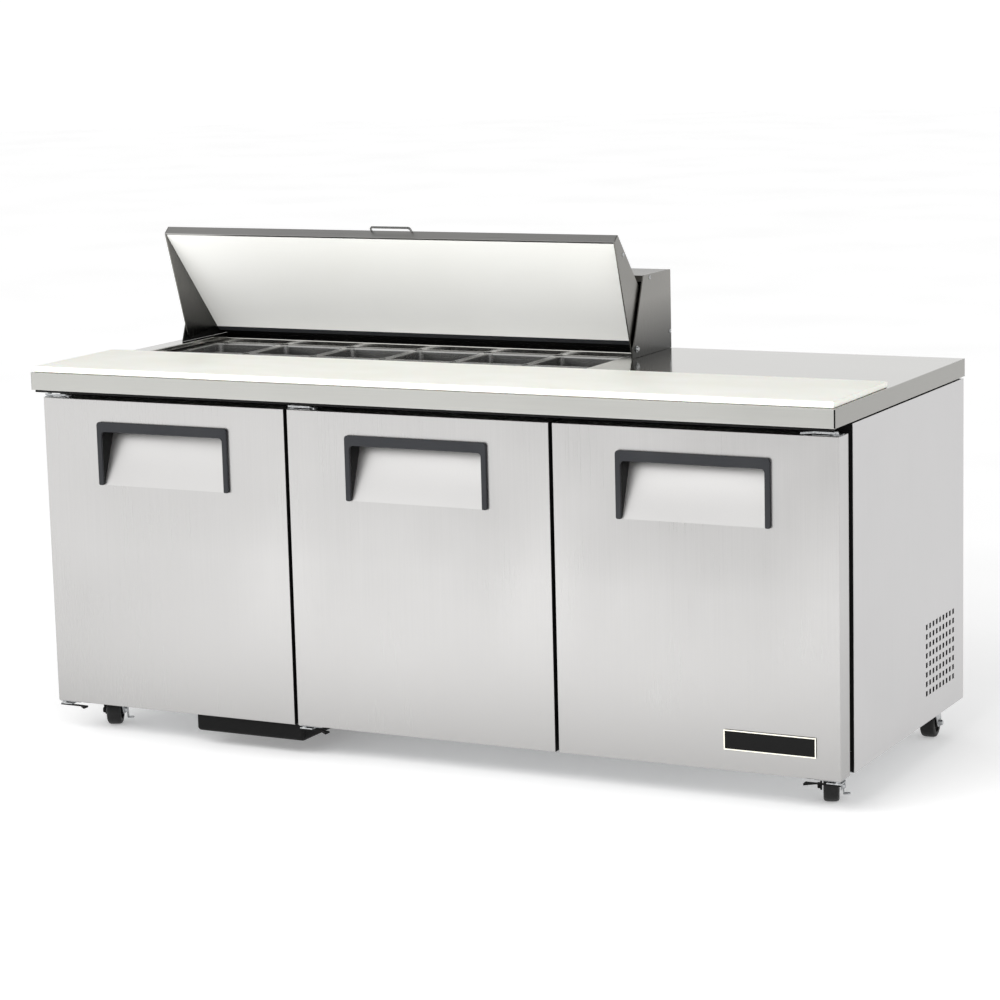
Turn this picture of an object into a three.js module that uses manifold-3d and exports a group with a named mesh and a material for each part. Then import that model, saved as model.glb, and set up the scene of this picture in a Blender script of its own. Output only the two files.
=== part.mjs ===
// Three-door refrigerated sandwich prep table: insulated cabinet on castors, stainless worktop with a
// twelve-pan rail under a hinged hood, full-length cutting board, shelves and refrigeration inside.
// Millimetres, +X to the right, -Y to the front, +Z up. Origin: floor level under the centre.
import * as THREE from "three";
import { mergeVertices } from "three/addons/utils/BufferGeometryUtils.js";
import Module from "manifold-3d";

const wasm = await Module();
wasm.setup();

// ---- driving dimensions ----
const WIDTH = 1838;
const DEPTH = 766;
const WORKTOP_Z = 812;
const FASCIA_HEIGHT = 38;
const CASTOR_HEIGHT = 82;
const WALL = 45;
const GAP = 0.3;

const CABINET_HALF_WIDTH = 917;
const CABINET_FRONT_Y = -281.6;
const CABINET_BACK_Y = 379.6;
const CABINET_TOP_Z = 770.4;

// Air vents through the right wall: the first hole's centre, and the grid.
const VENTS = { columns: 9, rows: 8, y: 145, z: 144, pitchY: 21, pitchZ: 20, width: 11, height: 11 };

const DOOR_WIDTH = 604;
const DOOR_PITCH = 611.5;
const DOOR_FRONT_Y = -347.4;
const DOOR_THICKNESS = 50.7;
const DOOR_BOTTOM_Z = 80.7;
const DOOR_TOP_Z = 753.7;
const GASKET_INSET = 14;
const GASKET_WIDTH = 16;

const HANDLE = { width: 326, height: 137, top: 706.5, bar: 21, leg: 11, proud: 7, corner: 9 };
const POCKET = { depth: 44, below: 4, shoulder: 14 };
const NAME_PLATE = { x: [670, 864], z: [122.5, 164], proud: 2.3 };
const HINGE = { near: 2, reach: 74, root: 45, upperZ: [757.5, 761.5], lowerZ: [70, 74] };
const DRIP_PAN = { x: [-573, -303], y: [-323, 190], z0: 38, flatTo: 150, roof: 1.2 };
const SHELF = { wire: 6, bars: 7, depth: 407, lowerZ: 225, upperZ: 400 };

const OPENING = { x0: -870, x1: 215, y0: -57, y1: 275 };
const PAN = { columns: 6, pitchX: 176, pitchY: 162, depth: 100, wall: 2.4, rimZ: 800, flange: 2.7 };
const BOARD = { halfLength: 914, front: -377, depth: 299, thickness: 12.7 };

const HOOD = { x0: -893, x1: 248, footY: 174, lipY: 239.5, backY: 382, topZ: 985, side: 4 };
const LID_PIVOT = [198, 831];
const LID = { x0: -886, x1: 241, side: 3, skin: 8, liner: 14 };
const LID_OUTLINE = [[110.3, 1067.7], [127, 1082], [337, 837]];
const LID_HANDLE = { centreX: -302, width: 104, standOff: 15, strap: 3, halfStrap: 2.5, rise: 7 };

const WHEEL_RADIUS = 32;
const WHEEL_WIDTH = 32;
const CASTOR_TRAIL = 25;

// ---- materials ----
function finish(color, roughness, metalness) {
  return new THREE.MeshStandardMaterial({ color, roughness, metalness });
}

const steel = () => finish(0xd4d3d1, 0.32, 0.9);
const darkSteel = () => finish(0x8d8c8a, 0.35, 0.9);
const aluminium = () => finish(0xc9cbcc, 0.4, 0.8);
const blackPlastic = () => finish(0x1b1b1c, 0.55, 0);
const charcoalPlastic = () => finish(0x3c3d3e, 0.5, 0);
const whitePlastic = () => finish(0xf7f7f2, 0.55, 0);
const zinc = () => finish(0xb9bbbd, 0.4, 0.85);
const rubber = () => finish(0x232324, 0.7, 0);
const coatedWire = () => finish(0xe9eae8, 0.45, 0);

const table = new THREE.Group();

function addMesh(name, geometry, material, parent = table) {
  const mesh = new THREE.Mesh(geometry, material);
  mesh.name = name;
  parent.add(mesh);
  return mesh;
}

// ---- shapes ----
// A box between two corners.
function block([x0, x1], [y0, y1], [z0, z1]) {
  const g = new THREE.BoxGeometry(x1 - x0, y1 - y0, z1 - z0);
  return g.translate((x0 + x1) / 2, (y0 + y1) / 2, (z0 + z1) / 2);
}

// An outline of [a, b] points pushed along one axis from p0 to p1. Along x it lies in (y, z), along y in
// (z, x), along z in (x, y).
function prism(points, axis, p0, p1) {
  const shape = new THREE.Shape(points.map(([a, b]) => new THREE.Vector2(a, b)));
  const g = new THREE.ExtrudeGeometry(shape, { depth: p1 - p0, bevelEnabled: false });
  const [ex, ey, ez] = [[1, 0, 0], [0, 1, 0], [0, 0, 1]].map((c) => new THREE.Vector3(...c));
  const [u, v, w] = { x: [ey, ez, ex], y: [ez, ex, ey], z: [ex, ey, ez] }[axis];
  g.translate(0, 0, p0);
  return g.applyMatrix4(new THREE.Matrix4().makeBasis(u, v, w));
}

// A rectangle with rounded corners as outline points.
function roundedRectangle([a0, a1], [b0, b1], radius, steps = 3) {
  const corners = [[a1, b1, 0], [a0, b1, 1], [a0, b0, 2], [a1, b0, 3]];
  return corners.flatMap(([a, b, quarter]) => Array.from({ length: steps + 1 }, (_, i) => {
    const t = ((quarter + i / steps) * Math.PI) / 2;
    const ca = a === a1 ? a1 - radius : a0 + radius;
    const cb = b === b1 ? b1 - radius : b0 + radius;
    return [ca + radius * Math.cos(t), cb + radius * Math.sin(t)];
  }));
}

// A cylinder between two ends along one axis.
function rod(axis, [a, b], p0, p1, radius, sides = 12) {
  const ring = Array.from({ length: sides }, (_, i) => {
    const t = (2 * Math.PI * (i + 0.5)) / sides;
    return [a + radius * Math.cos(t), b + radius * Math.sin(t)];
  });
  return prism(ring, axis, p0, p1);
}

function toSolid(geometry) {
  const bare = new THREE.BufferGeometry().setAttribute("position", geometry.getAttribute("position"));
  if (geometry.index) bare.setIndex(geometry.index);
  const merged = mergeVertices(bare, 1e-3);
  return new wasm.Manifold(new wasm.Mesh({
    numProp: 3,
    vertProperties: merged.getAttribute("position").array,
    triVerts: new Uint32Array(merged.index.array),
  }));
}

function toGeometry(solid) {
  const { vertProperties, triVerts } = solid.getMesh();
  const g = new THREE.BufferGeometry();
  g.setAttribute("position", new THREE.BufferAttribute(new Float32Array(vertProperties), 3));
  g.setIndex(new THREE.BufferAttribute(new Uint32Array(triVerts), 1));
  g.computeVertexNormals();
  return g;
}

const join = (...pieces) => toGeometry(pieces.map(toSolid).reduce((a, b) => a.add(b)));

function cut(body, ...tools) {
  return toGeometry(tools.map(toSolid).reduce((a, b) => a.subtract(b), toSolid(body)));
}

// ---- cabinet shell ----
const INNER_X = CABINET_HALF_WIDTH - WALL;
const BACK_WALL_Y = CABINET_BACK_Y - WALL;
const CABINET_Z = [CASTOR_HEIGHT, CABINET_TOP_Z];
const FLOOR_TOP_Z = CASTOR_HEIGHT + WALL;
const RAIL_BOTTOM_Z = 718;
const FRAME_BACK_Y = CABINET_FRONT_Y + 40;
const MULLION_WIDTH = 38;

// Hinge ends of the three doors: door 1 and 2 hang on their left edge, door 3 on its right.
const doors = [
  { name: "left", centre: -DOOR_PITCH, hinge: -1 },
  { name: "middle", centre: 0, hinge: -1 },
  { name: "right", centre: DOOR_PITCH, hinge: 1 },
];

// One hinge plate that reaches out of the cabinet face over or under a door, and its root behind the face.
function hingePlate({ centre, hinge }, plateZ, rootZ) {
  const edge = centre + (hinge * DOOR_WIDTH) / 2;
  const span = (near, far) => [edge - hinge * near, edge - hinge * far].sort((a, b) => a - b);
  return [
    block(span(HINGE.near, HINGE.reach), [DOOR_FRONT_Y + 5, CABINET_FRONT_Y - 0.8], plateZ),
    block(span(HINGE.root, HINGE.reach), [CABINET_FRONT_Y - 1.5, CABINET_FRONT_Y + 10], rootZ),
  ];
}

function buildCabinet() {
  const y = [CABINET_FRONT_Y, CABINET_BACK_Y];
  addMesh("left_wall", block([-CABINET_HALF_WIDTH, -INNER_X], y, CABINET_Z), steel());
  const vents = Array.from({ length: VENTS.columns * VENTS.rows }, (_, i) => {
    const cy = VENTS.y + (i % VENTS.columns) * VENTS.pitchY;
    const cz = VENTS.z + Math.floor(i / VENTS.columns) * VENTS.pitchZ;
    return block([INNER_X - 5, CABINET_HALF_WIDTH + 5], [cy - VENTS.width / 2, cy + VENTS.width / 2],
      [cz - VENTS.height / 2, cz + VENTS.height / 2]);
  });
  addMesh("right_wall", cut(block([INNER_X, CABINET_HALF_WIDTH], y, CABINET_Z), ...vents), steel());
  const innerX = [-INNER_X + GAP, INNER_X - GAP];
  addMesh("rear_wall", block(innerX, [BACK_WALL_Y, CABINET_BACK_Y], CABINET_Z), steel());
  const floor = block(innerX, [CABINET_FRONT_Y, BACK_WALL_Y - GAP], [CASTOR_HEIGHT, FLOOR_TOP_Z]);
  const rootZ = [HINGE.lowerZ[0], CASTOR_HEIGHT + 3];
  const lowerPlates = doors.flatMap((d) => hingePlate(d, HINGE.lowerZ, rootZ));
  addMesh("cabinet_floor", join(floor, ...lowerPlates), aluminium());

  const rail = block(innerX, [CABINET_FRONT_Y, FRAME_BACK_Y], [RAIL_BOTTOM_Z, CABINET_TOP_Z]);
  const mullions = [-1, 1].map((side) => {
    const x = (side * DOOR_PITCH) / 2;
    return block([x - MULLION_WIDTH / 2, x + MULLION_WIDTH / 2], [CABINET_FRONT_Y, FRAME_BACK_Y],
      [FLOOR_TOP_Z + GAP, RAIL_BOTTOM_Z + 5]);
  });
  const upperPlates = doors.flatMap((d) => hingePlate(d, HINGE.upperZ, HINGE.upperZ));
  addMesh("face_frame", join(rail, ...mullions, ...upperPlates), aluminium());
}

// ---- machine compartment at the rear right ----
const MACHINE = { x0: 330, y0: 98, topZ: 367, wall: 34 };

function buildMachinery() {
  const { x0, y0, topZ, wall } = MACHINE;
  const xEnd = INNER_X - GAP;
  const yEnd = BACK_WALL_Y - GAP;
  const z0 = FLOOR_TOP_Z + GAP;
  addMesh("machine_partition", join(
    block([x0, xEnd], [y0, y0 + wall], [z0, topZ]),
    block([x0, xEnd], [y0, yEnd], [topZ - wall, topZ]),
    block([x0, x0 + wall], [y0, yEnd], [z0, topZ]),
  ), aluminium());

  const compressor = [455, 242];
  addMesh("compressor", join(
    rod("z", compressor, z0 + 12, z0 + 150, 74, 20),
    rod("z", compressor, z0 + 149, z0 + 168, 52, 20),
    block([compressor[0] - 85, compressor[0] + 85], [compressor[1] - 60, compressor[1] + 60],
      [z0, z0 + 13]),
  ), blackPlastic());
  addMesh("condenser_coil", block([800, 852], [150, 312], [z0, 300]), aluminium());

  const fan = [232, 215];
  addMesh("condenser_fan_motor", join(
    rod("x", fan, 664, 724, 34, 16),
    block([672, 712], [fan[0] - 26, fan[0] + 26], [z0, fan[1]]),
  ), blackPlastic());
  const blades = [0, 1, 2, 3].map((i) => {
    const blade = block([-2.5, 2.5], [8, 70], [-17, 17]);
    return blade.rotateY(0.5).rotateX((i * Math.PI) / 2).translate(744, fan[0], fan[1]);
  });
  addMesh("condenser_fan", join(rod("x", fan, 728, 760, 18, 16), ...blades), aluminium());

  const evaporator = { x0: -330, x1: 230, y0: 244, z0: 420, z1: 682 };
  const centre = [evaporator.x0 + 280, 551];
  const housing = block([evaporator.x0, evaporator.x1], [evaporator.y0, yEnd],
    [evaporator.z0, evaporator.z1]);
  addMesh("evaporator_housing", cut(housing, rod("y", [centre[1], centre[0]], evaporator.y0 - 5,
    evaporator.y0 + 60, 96, 24)), aluminium());
  const evaporatorBlades = [0, 1, 2, 3, 4].map((i) => {
    const blade = block([-16, 16], [-2, 2], [8, 82]);
    blade.rotateZ(0.5).rotateY((i * 2 * Math.PI) / 5);
    return blade.translate(centre[0], evaporator.y0 + 26, centre[1]);
  });
  addMesh("evaporator_fan", join(
    rod("y", [centre[1], centre[0]], evaporator.y0 + 12, evaporator.y0 + 59, 20, 16),
    ...evaporatorBlades,
  ), blackPlastic());

  const { x, y: [front, rear], z0: low, flatTo, roof } = DRIP_PAN;
  const high = DOOR_BOTTOM_Z - roof;
  const side = [[front, low + 6], [front + 6, low], [flatTo, low], [rear, high], [front, high]];
  addMesh("drip_pan", prism(side, "x", ...x), blackPlastic());
}

// ---- worktop, pan frame and pans ----
const PAN_BLOCK = {
  x0: (OPENING.x0 + OPENING.x1) / 2 - (PAN.columns * PAN.pitchX) / 2,
  y0: (OPENING.y0 + OPENING.y1) / 2 - PAN.pitchY,
};
const PAN_UNDER_Z = PAN.rimZ - PAN.flange;

function buildWorktop() {
  const z = [WORKTOP_Z - FASCIA_HEIGHT, WORKTOP_Z];
  const slab = block([-WIDTH / 2, WIDTH / 2], [-DEPTH / 2, DEPTH / 2], z);
  const hole = block([OPENING.x0, OPENING.x1], [OPENING.y0, OPENING.y1], [z[0] - 5, z[1] + 5]);
  addMesh("worktop", cut(slab, hole), steel());

  const ringZ = [PAN_UNDER_Z - 17, PAN_UNDER_Z - GAP];
  const ring = block([OPENING.x0 + GAP, OPENING.x1 - GAP], [OPENING.y0 + GAP, OPENING.y1 - GAP], ringZ);
  const lip = 4;
  const inside = {
    x: [PAN_BLOCK.x0 + lip, PAN_BLOCK.x0 + PAN.columns * PAN.pitchX - lip],
    y: [PAN_BLOCK.y0 + lip, PAN_BLOCK.y0 + 2 * PAN.pitchY - lip],
  };
  addMesh("pan_frame", cut(ring, block(inside.x, inside.y, [ringZ[0] - 5, ringZ[1] + 5])), blackPlastic());

  const barZ = [PAN_UNDER_Z - 12, PAN_UNDER_Z - GAP];
  const across = [inside.x[0] + GAP, inside.x[1] - GAP];
  const along = [inside.y[0] + GAP, inside.y[1] - GAP];
  const midY = PAN_BLOCK.y0 + PAN.pitchY;
  const crossBars = [1, 2, 3, 4, 5].map((i) => {
    const x = PAN_BLOCK.x0 + i * PAN.pitchX;
    return block([x - 2.5, x + 2.5], along, barZ);
  });
  addMesh("pan_dividers", join(block(across, [midY - 2.5, midY + 2.5], barZ), ...crossBars), steel());
}

// A tapered body between a lower and an upper rectangle.
function taper([x, y], lower, upper, z0, z1) {
  const g = new THREE.BoxGeometry(1, 1, 1);
  const p = g.getAttribute("position");
  for (let i = 0; i < p.count; i++) {
    const [sx, sy] = p.getZ(i) > 0 ? upper : lower;
    p.setXYZ(i, x + p.getX(i) * sx, y + p.getY(i) * sy, p.getZ(i) > 0 ? z1 : z0);
  }
  return g;
}

function buildPans() {
  const top = [PAN.pitchX - 16, PAN.pitchY - 16];
  const bottom = [top[0] - 12, top[1] - 12];
  const thin = ([a, b]) => [a - 2 * PAN.wall, b - 2 * PAN.wall];
  for (let row = 0; row < 2; row++) {
    for (let column = 0; column < PAN.columns; column++) {
      const x = PAN_BLOCK.x0 + (column + 0.5) * PAN.pitchX;
      const y = PAN_BLOCK.y0 + (row + 0.5) * PAN.pitchY;
      const rim = block([x - PAN.pitchX / 2 + 0.5, x + PAN.pitchX / 2 - 0.5],
        [y - PAN.pitchY / 2 + 0.5, y + PAN.pitchY / 2 - 0.5], [PAN_UNDER_Z, PAN.rimZ]);
      const floorZ = PAN.rimZ - PAN.depth;
      const outside = toSolid(taper([x, y], bottom, top, floorZ, PAN_UNDER_Z + 1)).add(toSolid(rim));
      const inside = toSolid(taper([x, y], thin(bottom), thin(top), floorZ + PAN.wall, PAN.rimZ + 1));
      const place = row === 0 ? "front" : "rear";
      addMesh(`pan_${place}_${column + 1}`, toGeometry(outside.subtract(inside)), steel());
    }
  }
}

function buildBoard() {
  const { halfLength, front, depth, thickness } = BOARD;
  const z = [WORKTOP_Z + GAP, WORKTOP_Z + GAP + thickness];
  const c = 2;
  const section = [[front + c, z[0]], [front + depth, z[0]], [front + depth, z[1] - c],
    [front + depth - c, z[1]], [front + c, z[1]], [front, z[1] - c], [front, z[0] + c]];
  addMesh("cutting_board", prism(section, "x", -halfLength, halfLength), whitePlastic());
}

// ---- hood and lid ----
function buildHood() {
  const { x0, x1, footY, lipY, backY, topZ, side } = HOOD;
  const z0 = WORKTOP_Z + GAP;
  const outline = [[footY, z0], [backY, z0], [backY, topZ], [lipY, topZ]];
  const roof = 15;
  const back = 20;
  addMesh("hood_shell", join(
    prism(outline, "x", x0, x0 + side),
    prism(outline, "x", x1 - side, x1),
    block([x0, x1], [lipY, backY], [topZ - roof, topZ]),
    block([x0, x1], [backY - back, backY], [z0, topZ]),
  ), darkSteel());
}

// Points of a line moved sideways by a distance, to the right of its direction.
function offset([ay, az], [by, bz], distance) {
  const length = Math.hypot(by - ay, bz - az);
  const n = [(bz - az) / length, -(by - ay) / length];
  return [[ay + n[0] * distance, az + n[1] * distance], [by + n[0] * distance, bz + n[1] * distance]];
}

function buildLid() {
  const [lip, top, tail] = LID_OUTLINE;
  const ear = Array.from({ length: 7 }, (_, i) => {
    const t = Math.PI + (i / 6) * (Math.PI * 0.62);
    return [LID_PIVOT[0] + 12 * Math.cos(t), LID_PIVOT[1] + 12 * Math.sin(t)];
  });
  const outline = [tail, top, lip, ...ear];
  const [skinTop, skinTail] = offset(top, tail, LID.skin);
  const fascia = 5;
  const [fasciaTop, fasciaLip] = offset(top, lip, -fascia);
  const washer = LID.x1 - LID.side;
  addMesh("lid_shell", join(
    prism(outline, "x", LID.x0, LID.x0 + LID.side),
    prism(outline, "x", LID.x1 - LID.side, LID.x1),
    prism([tail, top, skinTop, skinTail], "x", LID.x0, LID.x1),
    prism([top, lip, fasciaLip, fasciaTop], "x", LID.x0, LID.x1),
    rod("x", LID_PIVOT, washer, LID.x1 + 2.4, 9),
    rod("x", LID_PIVOT, LID.x0 - 2.4, LID.x0 + LID.side, 9),
  ), darkSteel());

  const along = new THREE.Vector2(tail[0] - top[0], tail[1] - top[1]).normalize();
  const slide = (p, d) => [p[0] + along.x * d, p[1] + along.y * d];
  const near = offset(top, tail, LID.skin + GAP);
  const far = offset(top, tail, LID.skin + LID.liner);
  const start = fascia + 0.6;
  addMesh("lid_liner", prism([near[1], slide(near[0], start), slide(far[0], start), far[1]], "x",
    LID.x0 + LID.side + GAP, LID.x1 - LID.side - GAP), steel());

  // The strap stands off the fascia, in the plane square to it.
  const out = new THREE.Vector2(-(top[1] - lip[1]), top[0] - lip[0]).normalize();
  const up = new THREE.Vector2(top[0] - lip[0], top[1] - lip[1]).normalize();
  const mid = [0, 1].map((i) => (top[i] + lip[i]) / 2 + up.getComponent(i) * LID_HANDLE.rise);
  const at = (o, u) => [mid[0] + out.x * o + up.x * u, mid[1] + out.y * o + up.y * u];
  const half = LID_HANDLE.halfStrap;
  const bar = (o0, o1) => [at(o0, -half), at(o0, half), at(o1, half), at(o1, -half)].reverse();
  const x0 = LID_HANDLE.centreX - LID_HANDLE.width / 2;
  const x1 = x0 + LID_HANDLE.width;
  const reach = LID_HANDLE.standOff;
  const grip = bar(reach - LID_HANDLE.strap, reach);
  addMesh("lid_handle", join(
    prism(grip, "x", x0, x1),
    prism(bar(GAP, reach - 1), "x", x0, x0 + LID_HANDLE.strap),
    prism(bar(GAP, reach - 1), "x", x1 - LID_HANDLE.strap, x1),
  ), zinc());
}

// ---- doors ----
const DOOR_BACK_Y = DOOR_FRONT_Y + DOOR_THICKNESS;

function buildDoors() {
  for (const { name, centre } of doors) {
    const x = [centre - DOOR_WIDTH / 2, centre + DOOR_WIDTH / 2];
    const half = HANDLE.width / 2;
    const pocketHalf = half - HANDLE.leg;
    const topZ = HANDLE.top - POCKET.below;
    const bottomZ = HANDLE.top - HANDLE.height;
    const pocketY = DOOR_FRONT_Y + POCKET.depth;
    const slope = [[DOOR_FRONT_Y - 1, bottomZ], [DOOR_FRONT_Y, bottomZ], [pocketY, topZ - POCKET.shoulder],
      [pocketY, topZ], [DOOR_FRONT_Y - 1, topZ]];
    const pocket = prism(slope, "x", centre - pocketHalf, centre + pocketHalf);
    const panel = block(x, [DOOR_FRONT_Y, DOOR_BACK_Y], [DOOR_BOTTOM_Z, DOOR_TOP_Z]);
    addMesh(`door_${name}_panel`, cut(panel, pocket), steel());

    const gasketY = [DOOR_BACK_Y + GAP, CABINET_FRONT_Y - 1];
    const outer = block([x[0] + GASKET_INSET, x[1] - GASKET_INSET], gasketY,
      [DOOR_BOTTOM_Z + GASKET_INSET, DOOR_TOP_Z - GASKET_INSET]);
    const inset = GASKET_INSET + GASKET_WIDTH;
    const inner = block([x[0] + inset, x[1] - inset], [gasketY[0] - 2, gasketY[1] + 2],
      [DOOR_BOTTOM_Z + inset, DOOR_TOP_Z - inset]);
    addMesh(`door_${name}_gasket`, cut(outer, inner), rubber());

    // Inverted U: a rounded rectangle less its middle, standing proud of the door skin.
    const rim = roundedRectangle([bottomZ, HANDLE.top], [centre - half, centre + half], HANDLE.corner);
    const trim = prism(rim, "y", DOOR_FRONT_Y - HANDLE.proud, DOOR_FRONT_Y - GAP);
    const clear = block([centre - pocketHalf, centre + pocketHalf],
      [DOOR_FRONT_Y - HANDLE.proud - 5, DOOR_FRONT_Y + 5], [bottomZ - 20, HANDLE.top - HANDLE.bar]);
    addMesh(`door_${name}_handle`, cut(trim, clear), charcoalPlastic());
  }
  const plateY = [DOOR_FRONT_Y - NAME_PLATE.proud, DOOR_FRONT_Y - GAP];
  addMesh("name_plate", block(NAME_PLATE.x, plateY, NAME_PLATE.z), blackPlastic());
}

// ---- shelves ----
function shelfGeometry([x0, x1], [y0, y1], z) {
  const { wire, bars } = SHELF;
  const rails = [
    block([x0, x1], [y0, y0 + wire], [z, z + wire]),
    block([x0, x1], [y1 - wire, y1], [z, z + wire]),
    block([x0, x0 + wire], [y0, y1], [z, z + wire]),
    block([x1 - wire, x1], [y0, y1], [z, z + wire]),
  ];
  for (let i = 1; i <= bars; i++) {
    const x = x0 + ((x1 - x0) * i) / (bars + 1);
    rails.push(block([x - 2, x + 2], [y0 + 1, y1 - 1], [z + 1, z + 5]));
  }
  return join(...rails);
}

function buildShelves() {
  const edge = DOOR_PITCH / 2 + 4;
  const bays = [
    { name: "left", x: [-INNER_X + 6, -edge] },
    { name: "middle", x: [-edge + 8, edge - 8] },
    { name: "right", x: [edge, INNER_X - 6] },
  ];
  const y0 = FRAME_BACK_Y + 8;
  for (const { name, x } of bays) {
    const back = y0 + SHELF.depth;
    const lowerBack = name === "right" ? MACHINE.y0 - 8 : back;
    addMesh(`shelf_${name}_lower`, shelfGeometry(x, [y0, lowerBack], SHELF.lowerZ), coatedWire());
    addMesh(`shelf_${name}_upper`, shelfGeometry(x, [y0, back], SHELF.upperZ), coatedWire());
  }
}

// ---- castors ----
const castors = [
  { name: "front_left", x: -850, y: -233, turn: 24, brake: true },
  { name: "front_right", x: 850, y: -233, turn: 20, brake: true },
  { name: "rear_left", x: -858, y: 317, turn: 0, brake: false },
  { name: "rear_right", x: 858, y: 317, turn: 4, brake: false },
];

function wheelGeometry() {
  const half = WHEEL_WIDTH / 2;
  const profile = [[0, -half], [22, -half], [28, -half + 2], [WHEEL_RADIUS, -half + 8],
    [WHEEL_RADIUS, half - 8], [28, half - 2], [22, half], [0, half]].map(([r, w]) => new THREE.Vector2(r, w));
  return new THREE.LatheGeometry(profile, 24).rotateZ(Math.PI / 2);
}

function forkGeometry() {
  const inner = WHEEL_WIDTH / 2 + 2.5;
  const outer = inner + 3;
  const topZ = CASTOR_HEIGHT - GAP;
  const leg = [[-14, 70], [14, 24], [36, 24], [38, 40], [26, 70]].reverse();
  return join(
    rod("z", [0, 0], 74, topZ, 26, 20),
    block([-outer, outer], [-20, 26], [68, 75]),
    prism(leg, "x", -outer, -inner),
    prism(leg, "x", inner, outer),
    rod("x", [CASTOR_TRAIL, WHEEL_RADIUS], outer - 1, outer + 7, 6, 6),
    rod("x", [CASTOR_TRAIL, WHEEL_RADIUS], -outer - 7, -outer + 1, 6, 6),
  );
}

// A side lever with a foot tab, outside the fork's right leg.
function brakeGeometry() {
  const x0 = WHEEL_WIDTH / 2 + 6.2;
  const lever = [[33, 44], [33, 31], [42, 24], [44, 8], [54, 8], [50, 32]].reverse();
  return join(prism(lever, "x", x0, x0 + 3), block([x0, x0 + 15], [43, 54.5], [8, 12]));
}

function buildCastors() {
  for (const { name, x, y, turn, brake } of castors) {
    const group = new THREE.Group();
    group.position.set(x, y, 0);
    group.rotation.z = THREE.MathUtils.degToRad(turn);
    table.add(group);
    addMesh(`castor_${name}_fork`, forkGeometry(), zinc(), group);
    const wheel = addMesh(`castor_${name}_wheel`, wheelGeometry(), rubber(), group);
    wheel.position.set(0, CASTOR_TRAIL, WHEEL_RADIUS);
    if (brake) addMesh(`castor_${name}_brake`, brakeGeometry(), zinc(), group);
  }
}

buildCabinet();
buildMachinery();
buildWorktop();
buildPans();
buildBoard();
buildHood();
buildLid();
buildDoors();
buildShelves();
buildCastors();

export default table;
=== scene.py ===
"""Three-door refrigerated sandwich prep table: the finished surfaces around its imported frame.

Shapes are drawn in millimetres and scaled to metres as each piece is finished.
"""

import math

import bmesh
import bpy
from mathutils import Matrix, Vector


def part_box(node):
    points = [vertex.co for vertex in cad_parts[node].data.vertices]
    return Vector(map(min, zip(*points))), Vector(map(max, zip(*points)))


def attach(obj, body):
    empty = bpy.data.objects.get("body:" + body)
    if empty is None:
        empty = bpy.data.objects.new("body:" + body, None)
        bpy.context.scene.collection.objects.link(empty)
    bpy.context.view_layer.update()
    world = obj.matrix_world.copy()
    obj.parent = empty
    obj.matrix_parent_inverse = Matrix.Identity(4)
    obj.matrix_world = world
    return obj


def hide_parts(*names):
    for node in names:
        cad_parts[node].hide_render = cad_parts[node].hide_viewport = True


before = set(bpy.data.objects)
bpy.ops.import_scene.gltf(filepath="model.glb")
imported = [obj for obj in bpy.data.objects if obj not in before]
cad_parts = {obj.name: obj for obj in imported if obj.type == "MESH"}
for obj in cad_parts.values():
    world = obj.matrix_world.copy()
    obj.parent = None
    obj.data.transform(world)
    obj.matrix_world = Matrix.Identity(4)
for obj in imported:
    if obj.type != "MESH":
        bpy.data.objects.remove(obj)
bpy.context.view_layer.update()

MM = 0.001


# ---- camera ----
def place_camera():
    """A long lens in front of the right end, looking a little down at the whole table."""
    place = Vector((2.9105, -5.6238, 1.6378))
    yaw, pitch, roll = (math.radians(a) for a in (27.272, 9.997, -1.465))
    data = bpy.data.cameras.new("camera")
    data.lens = 108.2
    data.sensor_width = 36
    camera = bpy.data.objects.new("camera", data)
    turn = Matrix.Rotation(yaw, 4, "Z") @ Matrix.Rotation(math.pi / 2 - pitch, 4, "X")
    camera.matrix_world = Matrix.Translation(place) @ turn @ Matrix.Rotation(roll, 4, "Z")
    bpy.context.scene.collection.objects.link(camera)
    bpy.context.scene.camera = camera


place_camera()


# ---- materials ----
def colour(hex_code):
    """A colour given as sRGB hex, as the linear values that a shader takes."""
    channels = [int(hex_code[i:i + 2], 16) / 255 for i in (1, 3, 5)]
    linear = [c / 12.92 if c <= 0.04045 else ((c + 0.055) / 1.055) ** 2.4 for c in channels]
    return (*linear, 1.0)


def add(tree, kind, settings=None, links=None):
    """One node with its settings (a property's or an input's name and value) and its input links."""
    node = tree.nodes.new(kind)
    for name, value in (settings or {}).items():
        if isinstance(name, str) and hasattr(node, name):
            setattr(node, name, value)
        else:
            node.inputs[name].default_value = value
    for name, source in (links or {}).items():
        tree.links.new(source, node.inputs[name])
    return node


def new_material(name):
    """An empty material: its tree and the place where its pattern coordinates come from."""
    material = bpy.data.materials.new(name)
    material.use_nodes = True
    material.node_tree.nodes.clear()
    return material, material.node_tree, add(material.node_tree, "ShaderNodeTexCoord").outputs["Object"]


def noise(tree, where, size_mm, detail=3.0):
    """Noise whose grains are size_mm across along x, y and z."""
    scale = tuple(1.0 / (s * MM) for s in size_mm)
    spread = add(tree, "ShaderNodeMapping", {"Scale": scale}, {"Vector": where})
    return add(tree, "ShaderNodeTexNoise", {"Scale": 1.0, "Detail": detail},
               {"Vector": spread.outputs["Vector"]}).outputs["Fac"]


def between(tree, source, low, high, low_in=0.3, high_in=0.7):
    """A pattern's value, spread between two values."""
    limits = {"From Min": low_in, "From Max": high_in, "To Min": low, "To Max": high}
    return add(tree, "ShaderNodeMapRange", limits, {"Value": source}).outputs["Result"]


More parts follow.
